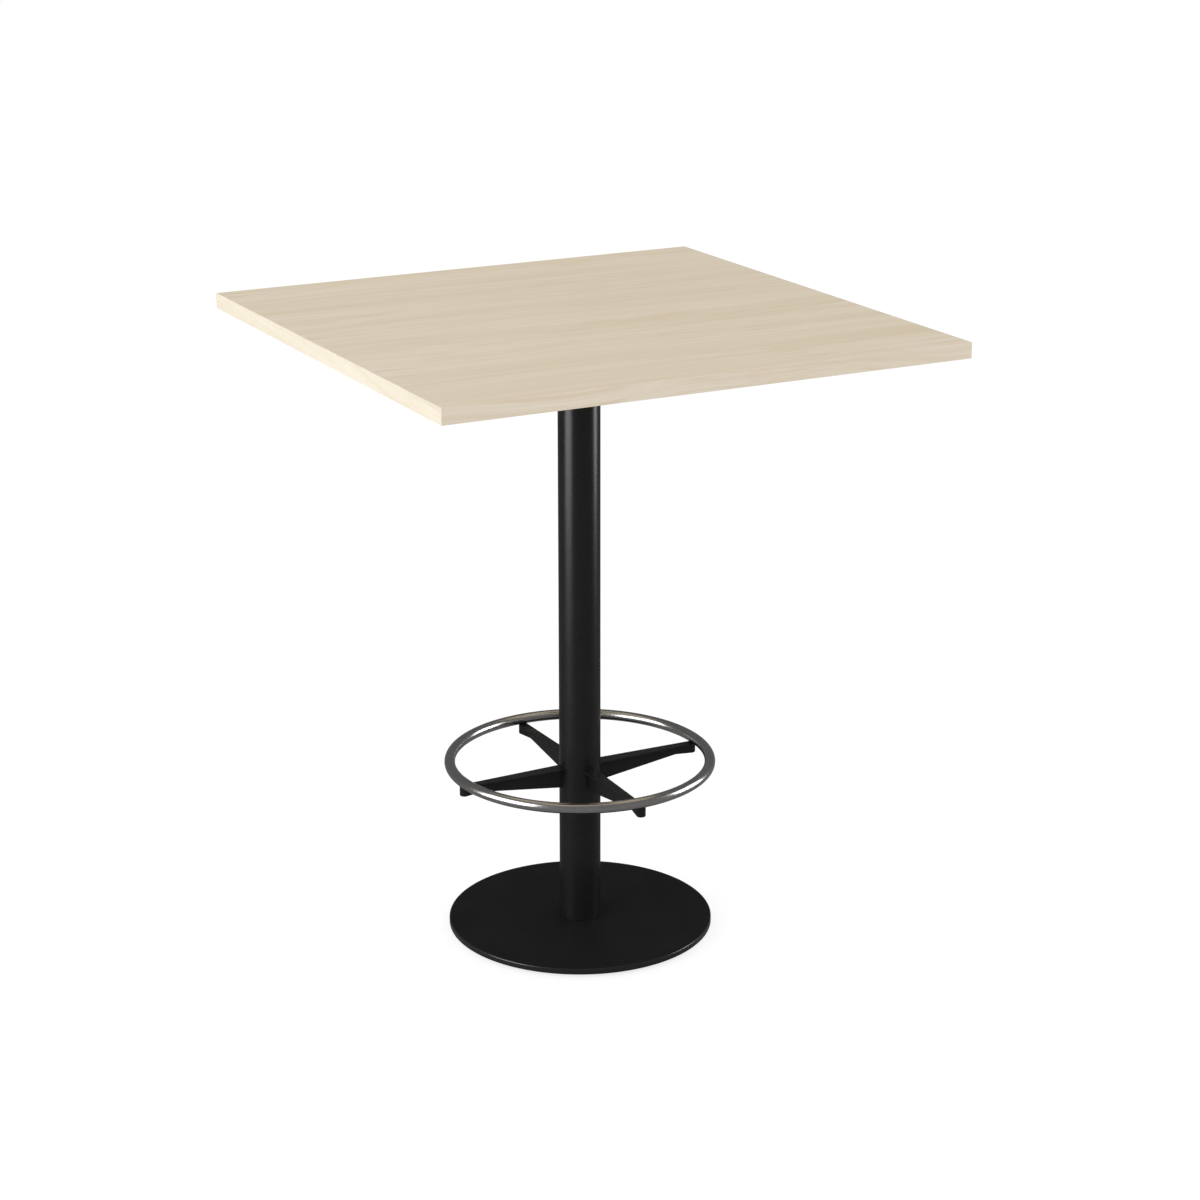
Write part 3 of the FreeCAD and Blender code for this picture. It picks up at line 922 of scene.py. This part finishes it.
@dataclass
class TableTop:
    """The wood-grain top: its laminates, core and four edge bands."""

    finishes: Finishes
    edge_radius: float = 0.5 * MM
    edge_steps: int = 4

    def build(self) -> None:
        """Build the bands; the sheets and the core are the frame's own."""
        for side in ("front", "back"):
            self.build_band(side, self.finishes.front_edge, along=0, across=1)
        for side in ("left", "right"):
            self.build_band(side, self.finishes.side_edge, along=1, across=0)

    def build_band(self, side: str, material: bpy.types.Material, along: int,
                   across: int) -> None:
        """Build one edge band with its outer edges rounded.

        Args:
            side: The side of the top that it covers.
            material: Its finish.
            along: The number of the axis that it runs along.
            across: The number of the axis through its thickness.
        """
        node = f"edge_band_{side}"
        low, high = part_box(node)
        bm = bmesh.new()
        bmesh.ops.create_cube(bm, size=1.0)
        for vert in bm.verts:
            vert.co = Vector(low[i] if vert.co[i] < 0 else high[i] for i in range(3))
        outer = [(across, low[across] if low[across] < 0 else high[across]), (2, low.z),
                 (2, high.z)]
        if high[along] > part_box("top_laminate")[1][along] + MERGE_GAP:
            outer += [(along, low[along]), (along, high[along])]
        edges = [edge for edge in bm.edges
                 if sum(all(abs(vert.co[axis] - level) < MERGE_GAP for vert in edge.verts)
                        for axis, level in outer) >= 2]
        bmesh.ops.bevel(bm, geom=edges, offset=self.edge_radius, offset_type="OFFSET",
                        segments=self.edge_steps, profile=0.5, affect="EDGES",
                        clamp_overlap=True)
        band = as_object(f"{side}_edge_band", bm)
        shade(band)
        dress(band, material)
        deliver(band, Body.TABLE, [node])


@dataclass
class TopPlate:
    """The steel plate under the top and the screws that hold it to the top."""

    finishes: Finishes
    screw_square: float = 310.0 * MM
    screw_radius: float = 3.0 * MM
    screw_length: float = 16.0 * MM
    head_radius: float = 5.5 * MM
    head_height: float = 3.3 * MM
    head_rim: float = 0.9 * MM
    crown_share: float = 0.55
    socket_flats: float = 4.0 * MM
    socket_depth: float = 2.1 * MM
    dome_steps: int = 6

    def build(self) -> None:
        """Build the button head screws; the plate itself is the frame's own."""
        crown = self.crown_share * self.head_radius
        angles = [QUARTER_TURN * step / self.dome_steps for step in range(self.dome_steps + 1)]
        dome = [(crown + (self.head_radius - crown) * math.cos(angle),
                 self.head_rim + (self.head_height - self.head_rim) * math.sin(angle))
                for angle in angles]
        screw = SocketScrew([(self.head_radius, 0.0), *dome], self.screw_radius,
                            self.screw_length, self.socket_flats, self.socket_depth)
        screw.fit("top_button_screws", SquareOfCopies(), {
            "Side": self.screw_square, "Height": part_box("top_plate")[0].z,
            "Material": self.finishes.zinc}, "top_screws")


@dataclass
class Column:
    """The round steel tube between the base and the top."""

    finishes: Finishes
    wall: float = 2.0 * MM
    edge: float = 0.3 * MM
    segments: int = 128

    def build(self) -> None:
        """Build the tube with its two walls and both ends."""
        low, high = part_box("column_tube")
        outer, inner = high.x, high.x - self.wall
        profile = [(inner, low.z), (outer - self.edge, low.z), (outer, low.z + self.edge),
                   (outer, high.z - self.edge), (outer - self.edge, high.z), (inner, high.z)]
        tube = as_object("column_post", turned(profile, self.segments))
        shade(tube)
        dress(tube, self.finishes.tube)
        deliver(tube, Body.TABLE, ["column_tube"])


@dataclass
class BaseDisc:
    """The round steel base with its screw holes and glide holes from below."""

    finishes: Finishes
    edge_radius: float = 2.0 * MM
    rim_reach: float = 1.5 * MM
    under_chamfer: float = 0.6 * MM
    edge_steps: int = 8
    segments: int = 256
    screw_circle: float = 21.0 * MM
    screw_hole: float = 5.5 * MM
    screw_radius: float = 5.0 * MM
    screw_head: float = 9.5 * MM
    screw_rim: float = 0.2 * MM
    screw_length: float = 22.0 * MM
    socket_flats: float = 6.0 * MM
    socket_depth: float = 3.0 * MM
    glide_circle: float = 195.0 * MM
    glide_hole: float = 4.05 * MM
    glide_hole_depth: float = 8.0 * MM
    hole_segments: int = 48
    holes: int = 4

    def build(self) -> None:
        """Build the disc, drill it from below and fit its countersunk screws."""
        low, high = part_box("base_disc")
        radius = high.x
        profile = [(0.0, low.z), (radius - self.under_chamfer, low.z),
                   (radius, low.z + self.under_chamfer),
                   *arc((radius - self.edge_radius, high.z - self.edge_radius), self.edge_radius,
                        0.0, 90.0, self.edge_steps), (0.0, high.z)]
        disc = as_object("base_plate", turned(profile, self.segments))
        self.drill(disc, self.countersink(low.z, high.z), self.screw_circle, 0.0)
        self.drill(disc, self.glide_bore(low.z), self.glide_circle, FULL_TURN / 8.0)
        shade(disc)
        dress(disc, self.finishes.disc)
        self.burnish(disc, radius - self.rim_reach)
        deliver(disc, Body.TABLE, ["base_disc"])
        self.build_screws(low.z)

    def burnish(self, disc: Piece, reach: float) -> None:
        """Give the disc's outermost faces the coat that feet have rubbed.

        Args:
            disc: The disc.
            reach: The distance from its axis beyond which they lie.
        """
        disc.data.materials.append(self.finishes.rim)
        for face in disc.data.polygons:
            face.material_index = int(face.center.xy.length > reach)

    def countersink(self, low: float, high: float) -> list[Point2]:
        """The outline of a countersunk screw hole, from below the disc to above it."""
        neck = low + self.screw_head - self.screw_hole
        return [(0.0, low - MM), (self.screw_head, low - MM), (self.screw_head, low),
                (self.screw_hole, neck), (self.screw_hole, high + MM), (0.0, high + MM)]

    def glide_bore(self, low: float) -> list[Point2]:
        """The outline of a blind glide hole, from below the disc up."""
        top = low + self.glide_hole_depth
        return [(0.0, low - MM), (self.glide_hole, low - MM), (self.glide_hole, top), (0.0, top)]

    def drill(self, disc: Piece, outline: list[Point2], circle: float, start: float) -> None:
        """Drill like holes in the disc.

        Args:
            disc: The disc.
            outline: The (radius, height) outline of one hole.
            circle: The radius of the circle that the holes lie on.
            start: The angle of the first hole.
        """
        tool = as_object("hole", turned(outline, self.hole_segments))
        tools = CircleOfCopies().grow("holes", {
            "Count": self.holes, "Radius": circle, "Start Angle": start, "Piece": tool,
            "Material": self.finishes.disc})
        discard(tool)
        carve(disc, tools)

    def build_screws(self, seat: float) -> None:
        """Fit the countersunk screws, flush with the underside.

        Args:
            seat: The underside's level.
        """
        cone = self.screw_head - self.screw_radius
        head = [(self.screw_head, cone - self.screw_rim), (self.screw_head, cone)]
        screw = SocketScrew(head, self.screw_radius, self.screw_length - cone,
                            self.socket_flats, self.socket_depth)
        screw.fit("base_flange_screws", CircleOfCopies(), {
            "Count": self.holes, "Radius": self.screw_circle, "Height": seat,
            "Material": self.finishes.zinc}, "base_screws", sink=cone)


@dataclass
class FootRing:
    """The polished ring that feet rest on."""

    finishes: Finishes
    steps_around: int = 288
    section_steps: int = 40

    def build(self) -> None:
        """Bend the tube to its circle."""
        ring = BentTube().grow("polished_foot_ring", {
            **ring_sizes(), "Steps Around": self.steps_around,
            "Section Steps": self.section_steps, "Material": self.finishes.polished})
        deliver(ring, Body.TABLE, ["foot_ring"])


@dataclass
class RingArm:
    """One of the arms that carry the ring: a tapered flange over a web that flares to a boss."""

    finishes: Finishes
    flange: float = 2.5 * MM
    flange_radius: float = 0.8 * MM
    root_half_width: float = 12.5 * MM
    root_run: float = 2.0 * MM
    web_half: float = 1.5 * MM
    web_fillet: float = 1.5 * MM
    web_edge: float = 0.4 * MM
    tip_depth: float = 16.4 * MM
    level_run: float = 31.0 * MM
    boss_radius: float = 7.75 * MM
    boss_height: float = 17.0 * MM
    boss_edge: float = 1.5 * MM
    boss_top_edge: float = 0.3 * MM
    flare_overlap: float = 3.0 * MM
    inside_tube: float = 0.4 * MM
    flange_steps: int = 4
    fillet_steps: int = 5
    web_steps: int = 2
    flare_steps: int = 8
    boss_steps: int = 24
    boss_edge_steps: int = 6
    bed_steps: int = 288
    bed_section_steps: int = 64
    screw_inset: float = 3.0 * MM
    screw_hole: float = 2.75 * MM
    screw_radius: float = 2.5 * MM
    head_radius: float = 4.25 * MM
    head_height: float = 5.0 * MM
    head_edge: float = 0.4 * MM
    socket_flats: float = 4.0 * MM
    socket_depth: float = 2.5 * MM
    recess_radius: float = 4.5 * MM
    recess_depth: float = 5.5 * MM
    bore_segments: int = 48
    arms: int = 4

    def build(self) -> None:
        """Build one arm on X, and turn a copy of it to each of its places."""
        arm = self.build_arm()
        for number in range(self.arms):
            item = arm.copy()
            item.data = arm.data.copy()
            item.name = f"black_ring_arm_{number + 1}"
            item.data.name = item.name
            item.data.transform(Matrix.Rotation(FULL_TURN * number / self.arms, 4, "Z"))
            bpy.context.scene.collection.objects.link(item)
            dress(item, self.finishes.tube)
            deliver(item, Body.TABLE, [f"ring_arm_{number + 1}"])
        discard(arm)
        self.build_screws()

    def build_arm(self) -> Piece:
        """Build the arm that lies on X.

        Returns:
            The arm, shaded.
        """
        low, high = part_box("ring_arm_1")
        centre = high.x - self.boss_radius
        bed = BentTube().grow("ring_bed", {
            **ring_sizes(), "Steps Around": self.bed_steps,
            "Section Steps": self.bed_section_steps, "Material": self.finishes.tube})
        arm = as_object("arm", self.loft(low.z, high.z, centre))
        carve(arm, self.flared_boss(centre, high.z), Tool.JOINS)
        carve(arm, bed)
        carve(arm, self.screw_bore(high.z))
        shade(arm)
        return arm

    def loft(self, low: float, top: float, centre: float) -> Mesh:
        """Make the flange and web, as sections from inside the column's wall to the boss.

        Args:
            low: The lowest level of the arm, at its root.
            top: The level of the flange's upper face.
            centre: The distance of the boss from the column's axis.

        Returns:
            The closed mesh.
        """
        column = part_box("column_tube")[1].x
        start = column - self.inside_tube
        level_start = centre - self.level_run
        bm = bmesh.new()
        loops = []
        for reach in (start, column + self.root_run, 0.5 * (column + level_start), level_start,
                      centre):
            share = (reach - column) / (centre - column)
            half = self.root_half_width + share * (self.boss_radius - self.root_half_width)
            fall = max(0.0, (level_start - reach) / (level_start - column))
            depth = self.tip_depth + fall * (top - low - self.tip_depth)
            loops.append([
                bm.verts.new((math.sqrt(start * start - y * y) if reach == start else reach, y, z))
                for y, z in self.section(half, top, top - depth)])
        enclose(bm, loops)
        return bm

    def section(self, half: float, top: float, bottom: float) -> list[Point2]:
        """Draw one section of the arm.

        Args:
            half: Half the flange's width there.
            top: The level of the flange's upper face.
            bottom: The level of the web's lower edge there.

        Returns:
            The (y, z) points round its outline.
        """
        under = top - self.flange
        radius, fillet, edge = self.flange_radius, self.web_fillet, self.web_edge
        right = [
            *arc((half - radius, top - radius), radius, 90.0, 0.0, self.flange_steps),
            *arc((half - radius, under + radius), radius, 0.0, -90.0, self.flange_steps),
            *arc((self.web_half + fillet, under - fillet), fillet, 90.0, 180.0,
                 self.fillet_steps),
            *arc((self.web_half - edge, bottom + edge), edge, 0.0, -90.0, self.web_steps),
        ]
        return right + [(-y, z) for y, z in reversed(right)]

    def flare_outline(self, centre: float) -> list[tuple[Vector, Vector, float]]:
        """Draw the boss and the web's flare as seen from above.

        Args:
            centre: The distance of the boss from the column's axis.

        Returns:
            The place and outward direction of each point, and its share of the way to the boss.
        """
        run = math.hypot(self.level_run, self.web_half)
        turn = (math.pi - math.atan2(self.web_half, self.level_run)
                - math.acos(self.boss_radius / run))
        outward = Vector((math.cos(turn), math.sin(turn)))
        touch = Vector((centre, 0.0)) + outward * self.boss_radius
        root = Vector((centre - self.level_run, self.web_half))
        root = root + (root - touch).normalized() * self.flare_overlap
        upper = []
        for step in range(self.flare_steps):
            share = step / self.flare_steps
            upper.append((root.lerp(touch, share), outward, share))
        for step in range(self.boss_steps):
            angle = turn * (1.0 - step / self.boss_steps)
            away = Vector((math.cos(angle), math.sin(angle)))
            upper.append((Vector((centre, 0.0)) + away * self.boss_radius, away, 1.0))
        nose = (Vector((centre + self.boss_radius, 0.0)), Vector((1.0, 0.0)), 1.0)
        mirrored = [(Vector((place.x, -place.y)), Vector((away.x, -away.y)), share)
                    for place, away, share in reversed(upper)]
        return [*upper, nose, *mirrored]

    def flared_boss(self, centre: float, top: float) -> Piece:
        """Make the round boss under the ring with the flare that leads the web into it.

        Args:
            centre: The distance of the boss from the column's axis.
            top: The level of the flange's upper face.

        Returns:
            The closed shape.
        """
        outline = self.flare_outline(centre)
        levels = []
        for step in range(self.boss_edge_steps + 1):
            angle = QUARTER_TURN * step / self.boss_edge_steps
            around = []
            for _, _, share in outline:
                edge = self.web_edge + share * (self.boss_edge - self.web_edge)
                bottom = top - self.tip_depth - share * (self.boss_height - self.tip_depth)
                around.append((edge * (1.0 - math.sin(angle)),
                               bottom + edge * (1.0 - math.cos(angle))))
            levels.append(around)
        levels.append([(0.0, top - self.boss_top_edge)] * len(outline))
        levels.append([(self.boss_top_edge, top)] * len(outline))

        bm = bmesh.new()
        loops = []
        for around in levels:
            places = [(place - away * inset, level)
                      for (place, away, _), (inset, level) in zip(outline, around)]
            loops.append([bm.verts.new((place.x, place.y, level)) for place, level in places])
        bridge(bm, loops)
        bm.faces.new(loops[-1])
        under = loops[0]
        last = len(under) - 1
        for here in range(len(under) // 2):
            corners = (under[here], under[here + 1], under[last - 1 - here], under[last - here])
            bm.faces.new(list(dict.fromkeys(corners)))
        bmesh.ops.recalc_face_normals(bm, faces=bm.faces)
        return as_object("flared_boss", bm)

    def screw_bore(self, top: float) -> Piece:
        """Make the shape of the screw's hole through the boss and the recess for its head.

        Args:
            top: The level of the flange's upper face.

        Returns:
            The shape, in its place.
        """
        bottom = top - self.boss_height
        seat = bottom + self.recess_depth
        outline = [(0.0, bottom - MM), (self.recess_radius, bottom - MM),
                   (self.recess_radius, seat), (self.screw_hole, seat),
                   (self.screw_hole, top + MM), (0.0, top + MM)]
        bore = as_object("bore", turned(outline, self.bore_segments))
        bore.data.transform(Matrix.Translation((self.screw_place(), 0.0, 0.0)))
        return bore

    def screw_place(self) -> float:
        """The distance of the ring screws from the column's axis."""
        return ring_sizes()["Ring Radius"] - self.screw_inset

    def build_screws(self) -> None:
        """Fit the cap screws that go up through the bosses into the ring."""
        low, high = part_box("ring_screws")
        head = [(self.head_radius, 0.0), (self.head_radius, self.head_height - self.head_edge),
                (self.head_radius - self.head_edge, self.head_height)]
        screw = SocketScrew(head, self.screw_radius, high.z - low.z - self.head_height,
                            self.socket_flats, self.socket_depth)
        screw.fit("ring_cap_screws", CircleOfCopies(), {
            "Count": self.arms, "Radius": self.screw_place(), "Height": low.z + self.head_height,
            "Material": self.finishes.black_oxide}, "ring_screws")


@dataclass
class LevellingGlides:
    """The four glides under the base: a nylon pad and a levelling screw each."""

    finishes: Finishes
    pad_radius: float = 15.0 * MM
    pad_edge: float = 0.8 * MM
    pad_edge_steps: int = 4
    pad_floor: float = 0.9 * MM
    pad_height: float = 3.0 * MM
    neck_play: float = 3.55 * MM
    foot_play: float = 5.05 * MM
    foot_room: float = 2.0 * MM
    foot_radius: float = 5.0 * MM
    foot_height: float = 1.0 * MM
    foot_under: float = 0.95 * MM
    neck_radius: float = 3.5 * MM
    hex_flats: float = 13.0 * MM
    hex_height: float = 2.0 * MM
    hex_bevel: float = 0.5 * MM
    hex_gap: float = 0.05 * MM
    thread_radius: float = 4.0 * MM
    thread_root: float = 3.45 * MM
    thread_pitch: float = 1.25 * MM
    rows_per_pitch: float = 8.0
    fade_rows: float = 6.0
    fade_start: float = 0.2
    segments: int = 48
    glides: int = 4

    def build(self) -> None:
        """Build a pad and a screw at each place of the frame's glides."""
        for number in range(1, self.glides + 1):
            low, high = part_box(f"glide_pad_{number}")
            place = Matrix.Translation(((low.x + high.x) / 2.0, (low.y + high.y) / 2.0, 0.0))
            turn = Matrix.Rotation(math.atan2(low.y + high.y, low.x + high.x), 4, "Z")
            pad = as_object(f"nylon_glide_pad_{number}", self.pad())
            pad.data.transform(place)
            shade(pad)
            dress(pad, self.finishes.nylon)
            deliver(pad, Body.PAD.numbered(number), [f"glide_pad_{number}"])
            screw = as_object(f"levelling_screw_{number}", self.screw())
            screw.data.transform(place @ turn)
            shade(screw)
            dress(screw, self.finishes.zinc)
            deliver(screw, Body.STUD.numbered(number), [f"glide_stud_{number}"])

    def pad(self) -> Mesh:
        """Make the round pad with the socket that holds the screw's foot.

        Returns:
            The closed mesh.
        """
        radius, edge, height = self.pad_radius, self.pad_edge, self.pad_height
        profile = [(0.0, 0.0), *arc((radius - edge, edge), edge, -90.0, 0.0, self.pad_edge_steps),
                   *arc((radius - edge, height - edge), edge, 0.0, 90.0, self.pad_edge_steps),
                   (self.neck_play, height), (self.neck_play, self.foot_room),
                   (self.foot_play, self.foot_room), (self.foot_play, self.pad_floor),
                   (0.0, self.pad_floor)]
        return turned(profile, 2 * self.segments)

    def screw(self) -> Mesh:
        """Make the screw: foot, neck, hexagon and a real thread.

        Returns:
            The closed mesh.
        """
        foot_top = self.foot_under + self.foot_height
        hex_under = self.pad_height + self.hex_gap
        hex_top = self.pad_height + self.hex_height
        corner = self.hex_flats / math.sqrt(3.0)
        outline = [(self.foot_radius, self.foot_under), (self.foot_radius, foot_top),
                   (self.neck_radius, foot_top), (self.neck_radius, hex_under)]
        for level, limit in ((hex_under, corner - self.hex_bevel),
                             (hex_under + self.hex_bevel, corner),
                             (hex_top - self.hex_bevel, corner),
                             (hex_top, corner - self.hex_bevel)):
            outline.append((hexagon(self.hex_flats, FULL_TURN / 12.0, limit), level))
        outline.extend(self.thread(hex_top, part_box("glide_stud_1")[1].z))
        bm = bmesh.new()
        enclose(bm, [loop_at(bm, reach, level, self.segments) for reach, level in outline])
        return bm

    def thread(self, low: float, high: float) -> list[tuple[Callable[[float], float], float]]:
        """Draw the thread as level outlines that rise and fall along a right-hand helix.

        Args:
            low: Where the thread starts.
            high: Where it ends.

        Returns:
            Each outline's distance from the axis at an angle, and its level.
        """
        rows = round((high - low) / self.thread_pitch * self.rows_per_pitch)
        depth = self.thread_radius - self.thread_root
        outlines = []
        for row in range(rows + 1):
            rise = (high - low) * row / rows
            fade = min(1.0, (rows - row) / self.fade_rows, row / self.fade_rows + self.fade_start)
            outlines.append((self.ridge(rise / self.thread_pitch, depth * fade), low + rise))
        return outlines

    def ridge(self, turns: float, swell: float) -> Callable[[float], float]:
        """The thread's outline where it has made so many turns and rises so far off its root."""
        return lambda angle: self.thread_root + swell * (
            1.0 - abs(2.0 * ((turns - angle / FULL_TURN) % 1.0) - 1.0))


# ---- studio -------------------------------------------------------------------------------


class Shows(Enum):
    """What a panel's light shows on: matt colour everywhere, or the gloss of one kind of finish."""

    MATT = 0
    COAT_GLOSS = 1
    METAL_GLOSS = 2


@dataclass(frozen=True)
class SoftBox:
    """A soft panel light that faces the column."""

    name: str
    place: tuple[float, float, float]
    width: float
    height: float
    power: float
    shows: Shows

    def build(self, pieces: dict[Shows, bpy.types.Collection]) -> None:
        """Hang the light.

        Args:
            pieces: The pieces that each kind of gloss light shows on.
        """
        lamp = bpy.data.lights.new(self.name, "AREA")
        lamp.shape = "RECTANGLE"
        lamp.size, lamp.size_y = self.width, self.height
        lamp.energy = self.power
        item = bpy.data.objects.new(self.name, lamp)
        item.location = self.place
        aim = Vector((-self.place[0], -self.place[1], 0.0))
        item.rotation_euler = aim.to_track_quat("-Z", "Y").to_euler()
        if self.shows is Shows.MATT:
            item.visible_glossy = False
        else:
            item.visible_diffuse = False
            item.light_linking.receiver_collection = pieces[self.shows]
        bpy.context.scene.collection.objects.link(item)


@dataclass
class Studio:
    """The floor, the backdrop, the lights and the camera."""

    glossy: dict[Shows, Sequence[bpy.types.Material]]
    floor_radius: float = 14.0
    floor_segments: int = 96
    floor_colour: Colour = (0.68, 0.68, 0.68)
    floor_roughness: float = 0.9
    floor_lit_share: float = 0.35
    floor_glow: float = 1.22
    floor_span: float = 2.0
    fill: float = 0.985
    backdrop: float = 1.0
    backdrop_span: float = 0.7
    gloss_in_front: float = 0.185
    gloss_behind: float = 0.125
    camera_place: tuple[float, float, float] = (-1.9946, -3.8484, 1.9877)
    camera_turn: tuple[float, float, float] = (72.022, 0.0, -27.848)
    lens: float = 82.32
    sensor: float = 36.0
    lights: list[SoftBox] = field(default_factory=lambda: [
        SoftBox("left_panel", (-2.7, 0.00, 1.08), 1.9, 1.8, 28.0, Shows.MATT),
        SoftBox("left_coat_glint", (-2.6, -0.13, 0.86), 1.7, 1.7, 85.0, Shows.COAT_GLOSS),
        SoftBox("left_metal_glint", (-2.65, -0.06, 1.30), 2.4, 2.4, 62.0, Shows.METAL_GLOSS),
        SoftBox("right_panel", (2.50, -0.87, 0.85), 0.9, 1.1, 6.3, Shows.MATT),
        SoftBox("right_coat_glint", (2.40, -0.91, 0.72), 0.9, 1.2, 37.0, Shows.COAT_GLOSS),
        SoftBox("right_metal_glint", (2.46, -0.80, 1.00), 1.5, 1.5, 28.0, Shows.METAL_GLOSS),
    ])

    def build(self) -> None:
        """Set up the whole studio."""
        self.build_floor()
        self.build_world()
        pieces = {kind: self.pieces_of(kind) for kind in self.glossy}
        for light in self.lights:
            light.build(pieces)
        self.build_camera()
        bpy.context.scene.view_settings.view_transform = "Standard"

    def pieces_of(self, kind: Shows) -> bpy.types.Collection:
        """Gather the pieces whose gloss one kind of light shows on, for the lights to name.

        Args:
            kind: The kind of light.

        Returns:
            A collection of the pieces, outside the scene.
        """
        pieces = bpy.data.collections.new(kind.name.lower())
        for item in bpy.context.scene.objects:
            if item.type == "MESH" and item.active_material in self.glossy[kind]:
                pieces.objects.link(item)
        return pieces

    def backdrop_light(self, graph: NodeGraph, place: Socket, white: float,
                       span: float) -> tuple[Socket, Socket, Socket]:
        """Tell the rays that look at the backdrop from those that only carry its light.

        Args:
            graph: The node tree of the floor or the world.
            place: The coordinates to read.
            white: The strength that the camera sees as white.
            span: How far along them the backdrop goes from dark, behind, to bright, in front.

        Returns:
            1 for camera, glossy and transmission rays, 1 for glossy rays, and the strength seen.
        """
        path = graph.add("ShaderNodeLightPath").outputs
        gloss = path["Is Glossy Ray"]
        seen = graph.math("MAXIMUM", path["Is Camera Ray"], gloss)
        seen = graph.math("MAXIMUM", seen, path["Is Transmission Ray"])
        front = Vector((*self.camera_place[:2], 0.0)).normalized()
        ahead = graph.add("ShaderNodeVectorMath", {0: place, 1: front}, operation="DOT_PRODUCT")
        level = graph.mapped(ahead.outputs["Value"], white * self.gloss_behind,
                             white * self.gloss_in_front, -0.5 * span, span,
                             interpolation_type="SMOOTHSTEP")
        return seen, gloss, graph.mapped(gloss, white, level)

    def build_floor(self) -> None:
        """Lay a round pale floor that keeps a soft shadow."""
        bm = bmesh.new()
        bmesh.ops.create_circle(bm, cap_ends=True, radius=self.floor_radius,
                                segments=self.floor_segments)
        floor = as_object("studio_floor", bm)
        graph = ShaderGraph("pale_floor")
        graph.surface(base_color=(*self.floor_colour, 1.0), roughness=self.floor_roughness,
                      specular_ior_level=0.0)
        seen, gloss, strength = self.backdrop_light(graph, graph.place, self.floor_glow,
                                                    self.floor_span)
        glow = graph.add("ShaderNodeEmission", {"Strength": strength})
        share = graph.math("MAXIMUM", gloss,
                           graph.math("MULTIPLY", seen, 1.0 - self.floor_lit_share))
        mix = graph.add("ShaderNodeMixShader", {
            "Fac": share, 1: graph.shader.outputs[0], 2: glow.outputs[0]})
        graph.feed(graph.tree.nodes["Material Output"].inputs["Surface"], mix.outputs[0])
        dress(floor, graph.material)

    def build_world(self) -> None:
        """Make an even fill light that looks white behind the table."""
        world = bpy.data.worlds.new("studio")
        bpy.context.scene.world = world
        world.use_nodes = True
        graph = NodeGraph(world.node_tree)
        place = graph.add("ShaderNodeTexCoord").outputs["Generated"]
        seen, _, strength = self.backdrop_light(graph, place, self.backdrop, self.backdrop_span)
        background = graph.tree.nodes["Background"].inputs
        graph.feed(background["Color"], (1.0, 1.0, 1.0, 1.0))
        graph.feed(background["Strength"], graph.mapped(seen, self.fill, strength))

    def build_camera(self) -> None:
        """Set the camera."""
        data = bpy.data.cameras.new("camera")
        data.lens, data.sensor_width = self.lens, self.sensor
        camera = bpy.data.objects.new("camera", data)
        camera.location = self.camera_place
        camera.rotation_euler = Euler([math.radians(angle) for angle in self.camera_turn])
        bpy.context.scene.collection.objects.link(camera)
        bpy.context.scene.camera = camera


# ---- the whole table ----------------------------------------------------------------------


def dress_frame_nodes(nodes: dict[str, Piece], finishes: Finishes) -> None:
    """Give the frame's own nodes that stay their finishes.

    Args:
        nodes: The frame's nodes by name.
        finishes: The finishes.
    """
    for material, names in ((finishes.top, ("top_laminate", "under_laminate")),
                            (finishes.core, ("top_core",)), (finishes.tube, ("top_plate",)),
                            (finishes.zinc, ("top_inserts", "head_screws")),
                            (finishes.turned, ("head_plug", "foot_plug"))):
        for name in names:
            dress(nodes[name], material)


def main() -> None:
    """Load the frame, build every sub-assembly and the studio, and note the sizes."""
    logging.basicConfig(level=logging.INFO, format="%(message)s", stream=sys.stdout)
    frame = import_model()
    finishes = Finishes()
    for kind in (TableTop, TopPlate, Column, BaseDisc, FootRing, RingArm, LevellingGlides):
        LOG.info("building %s", kind.__name__)
        kind(finishes).build()
    dress_frame_nodes(frame["nodes"], finishes)
    Studio({Shows.COAT_GLOSS: (finishes.tube, finishes.disc),
            Shows.METAL_GLOSS: (finishes.polished, finishes.zinc, finishes.turned,
                                finishes.black_oxide)}).build()


if __name__ == "__main__":
    main()
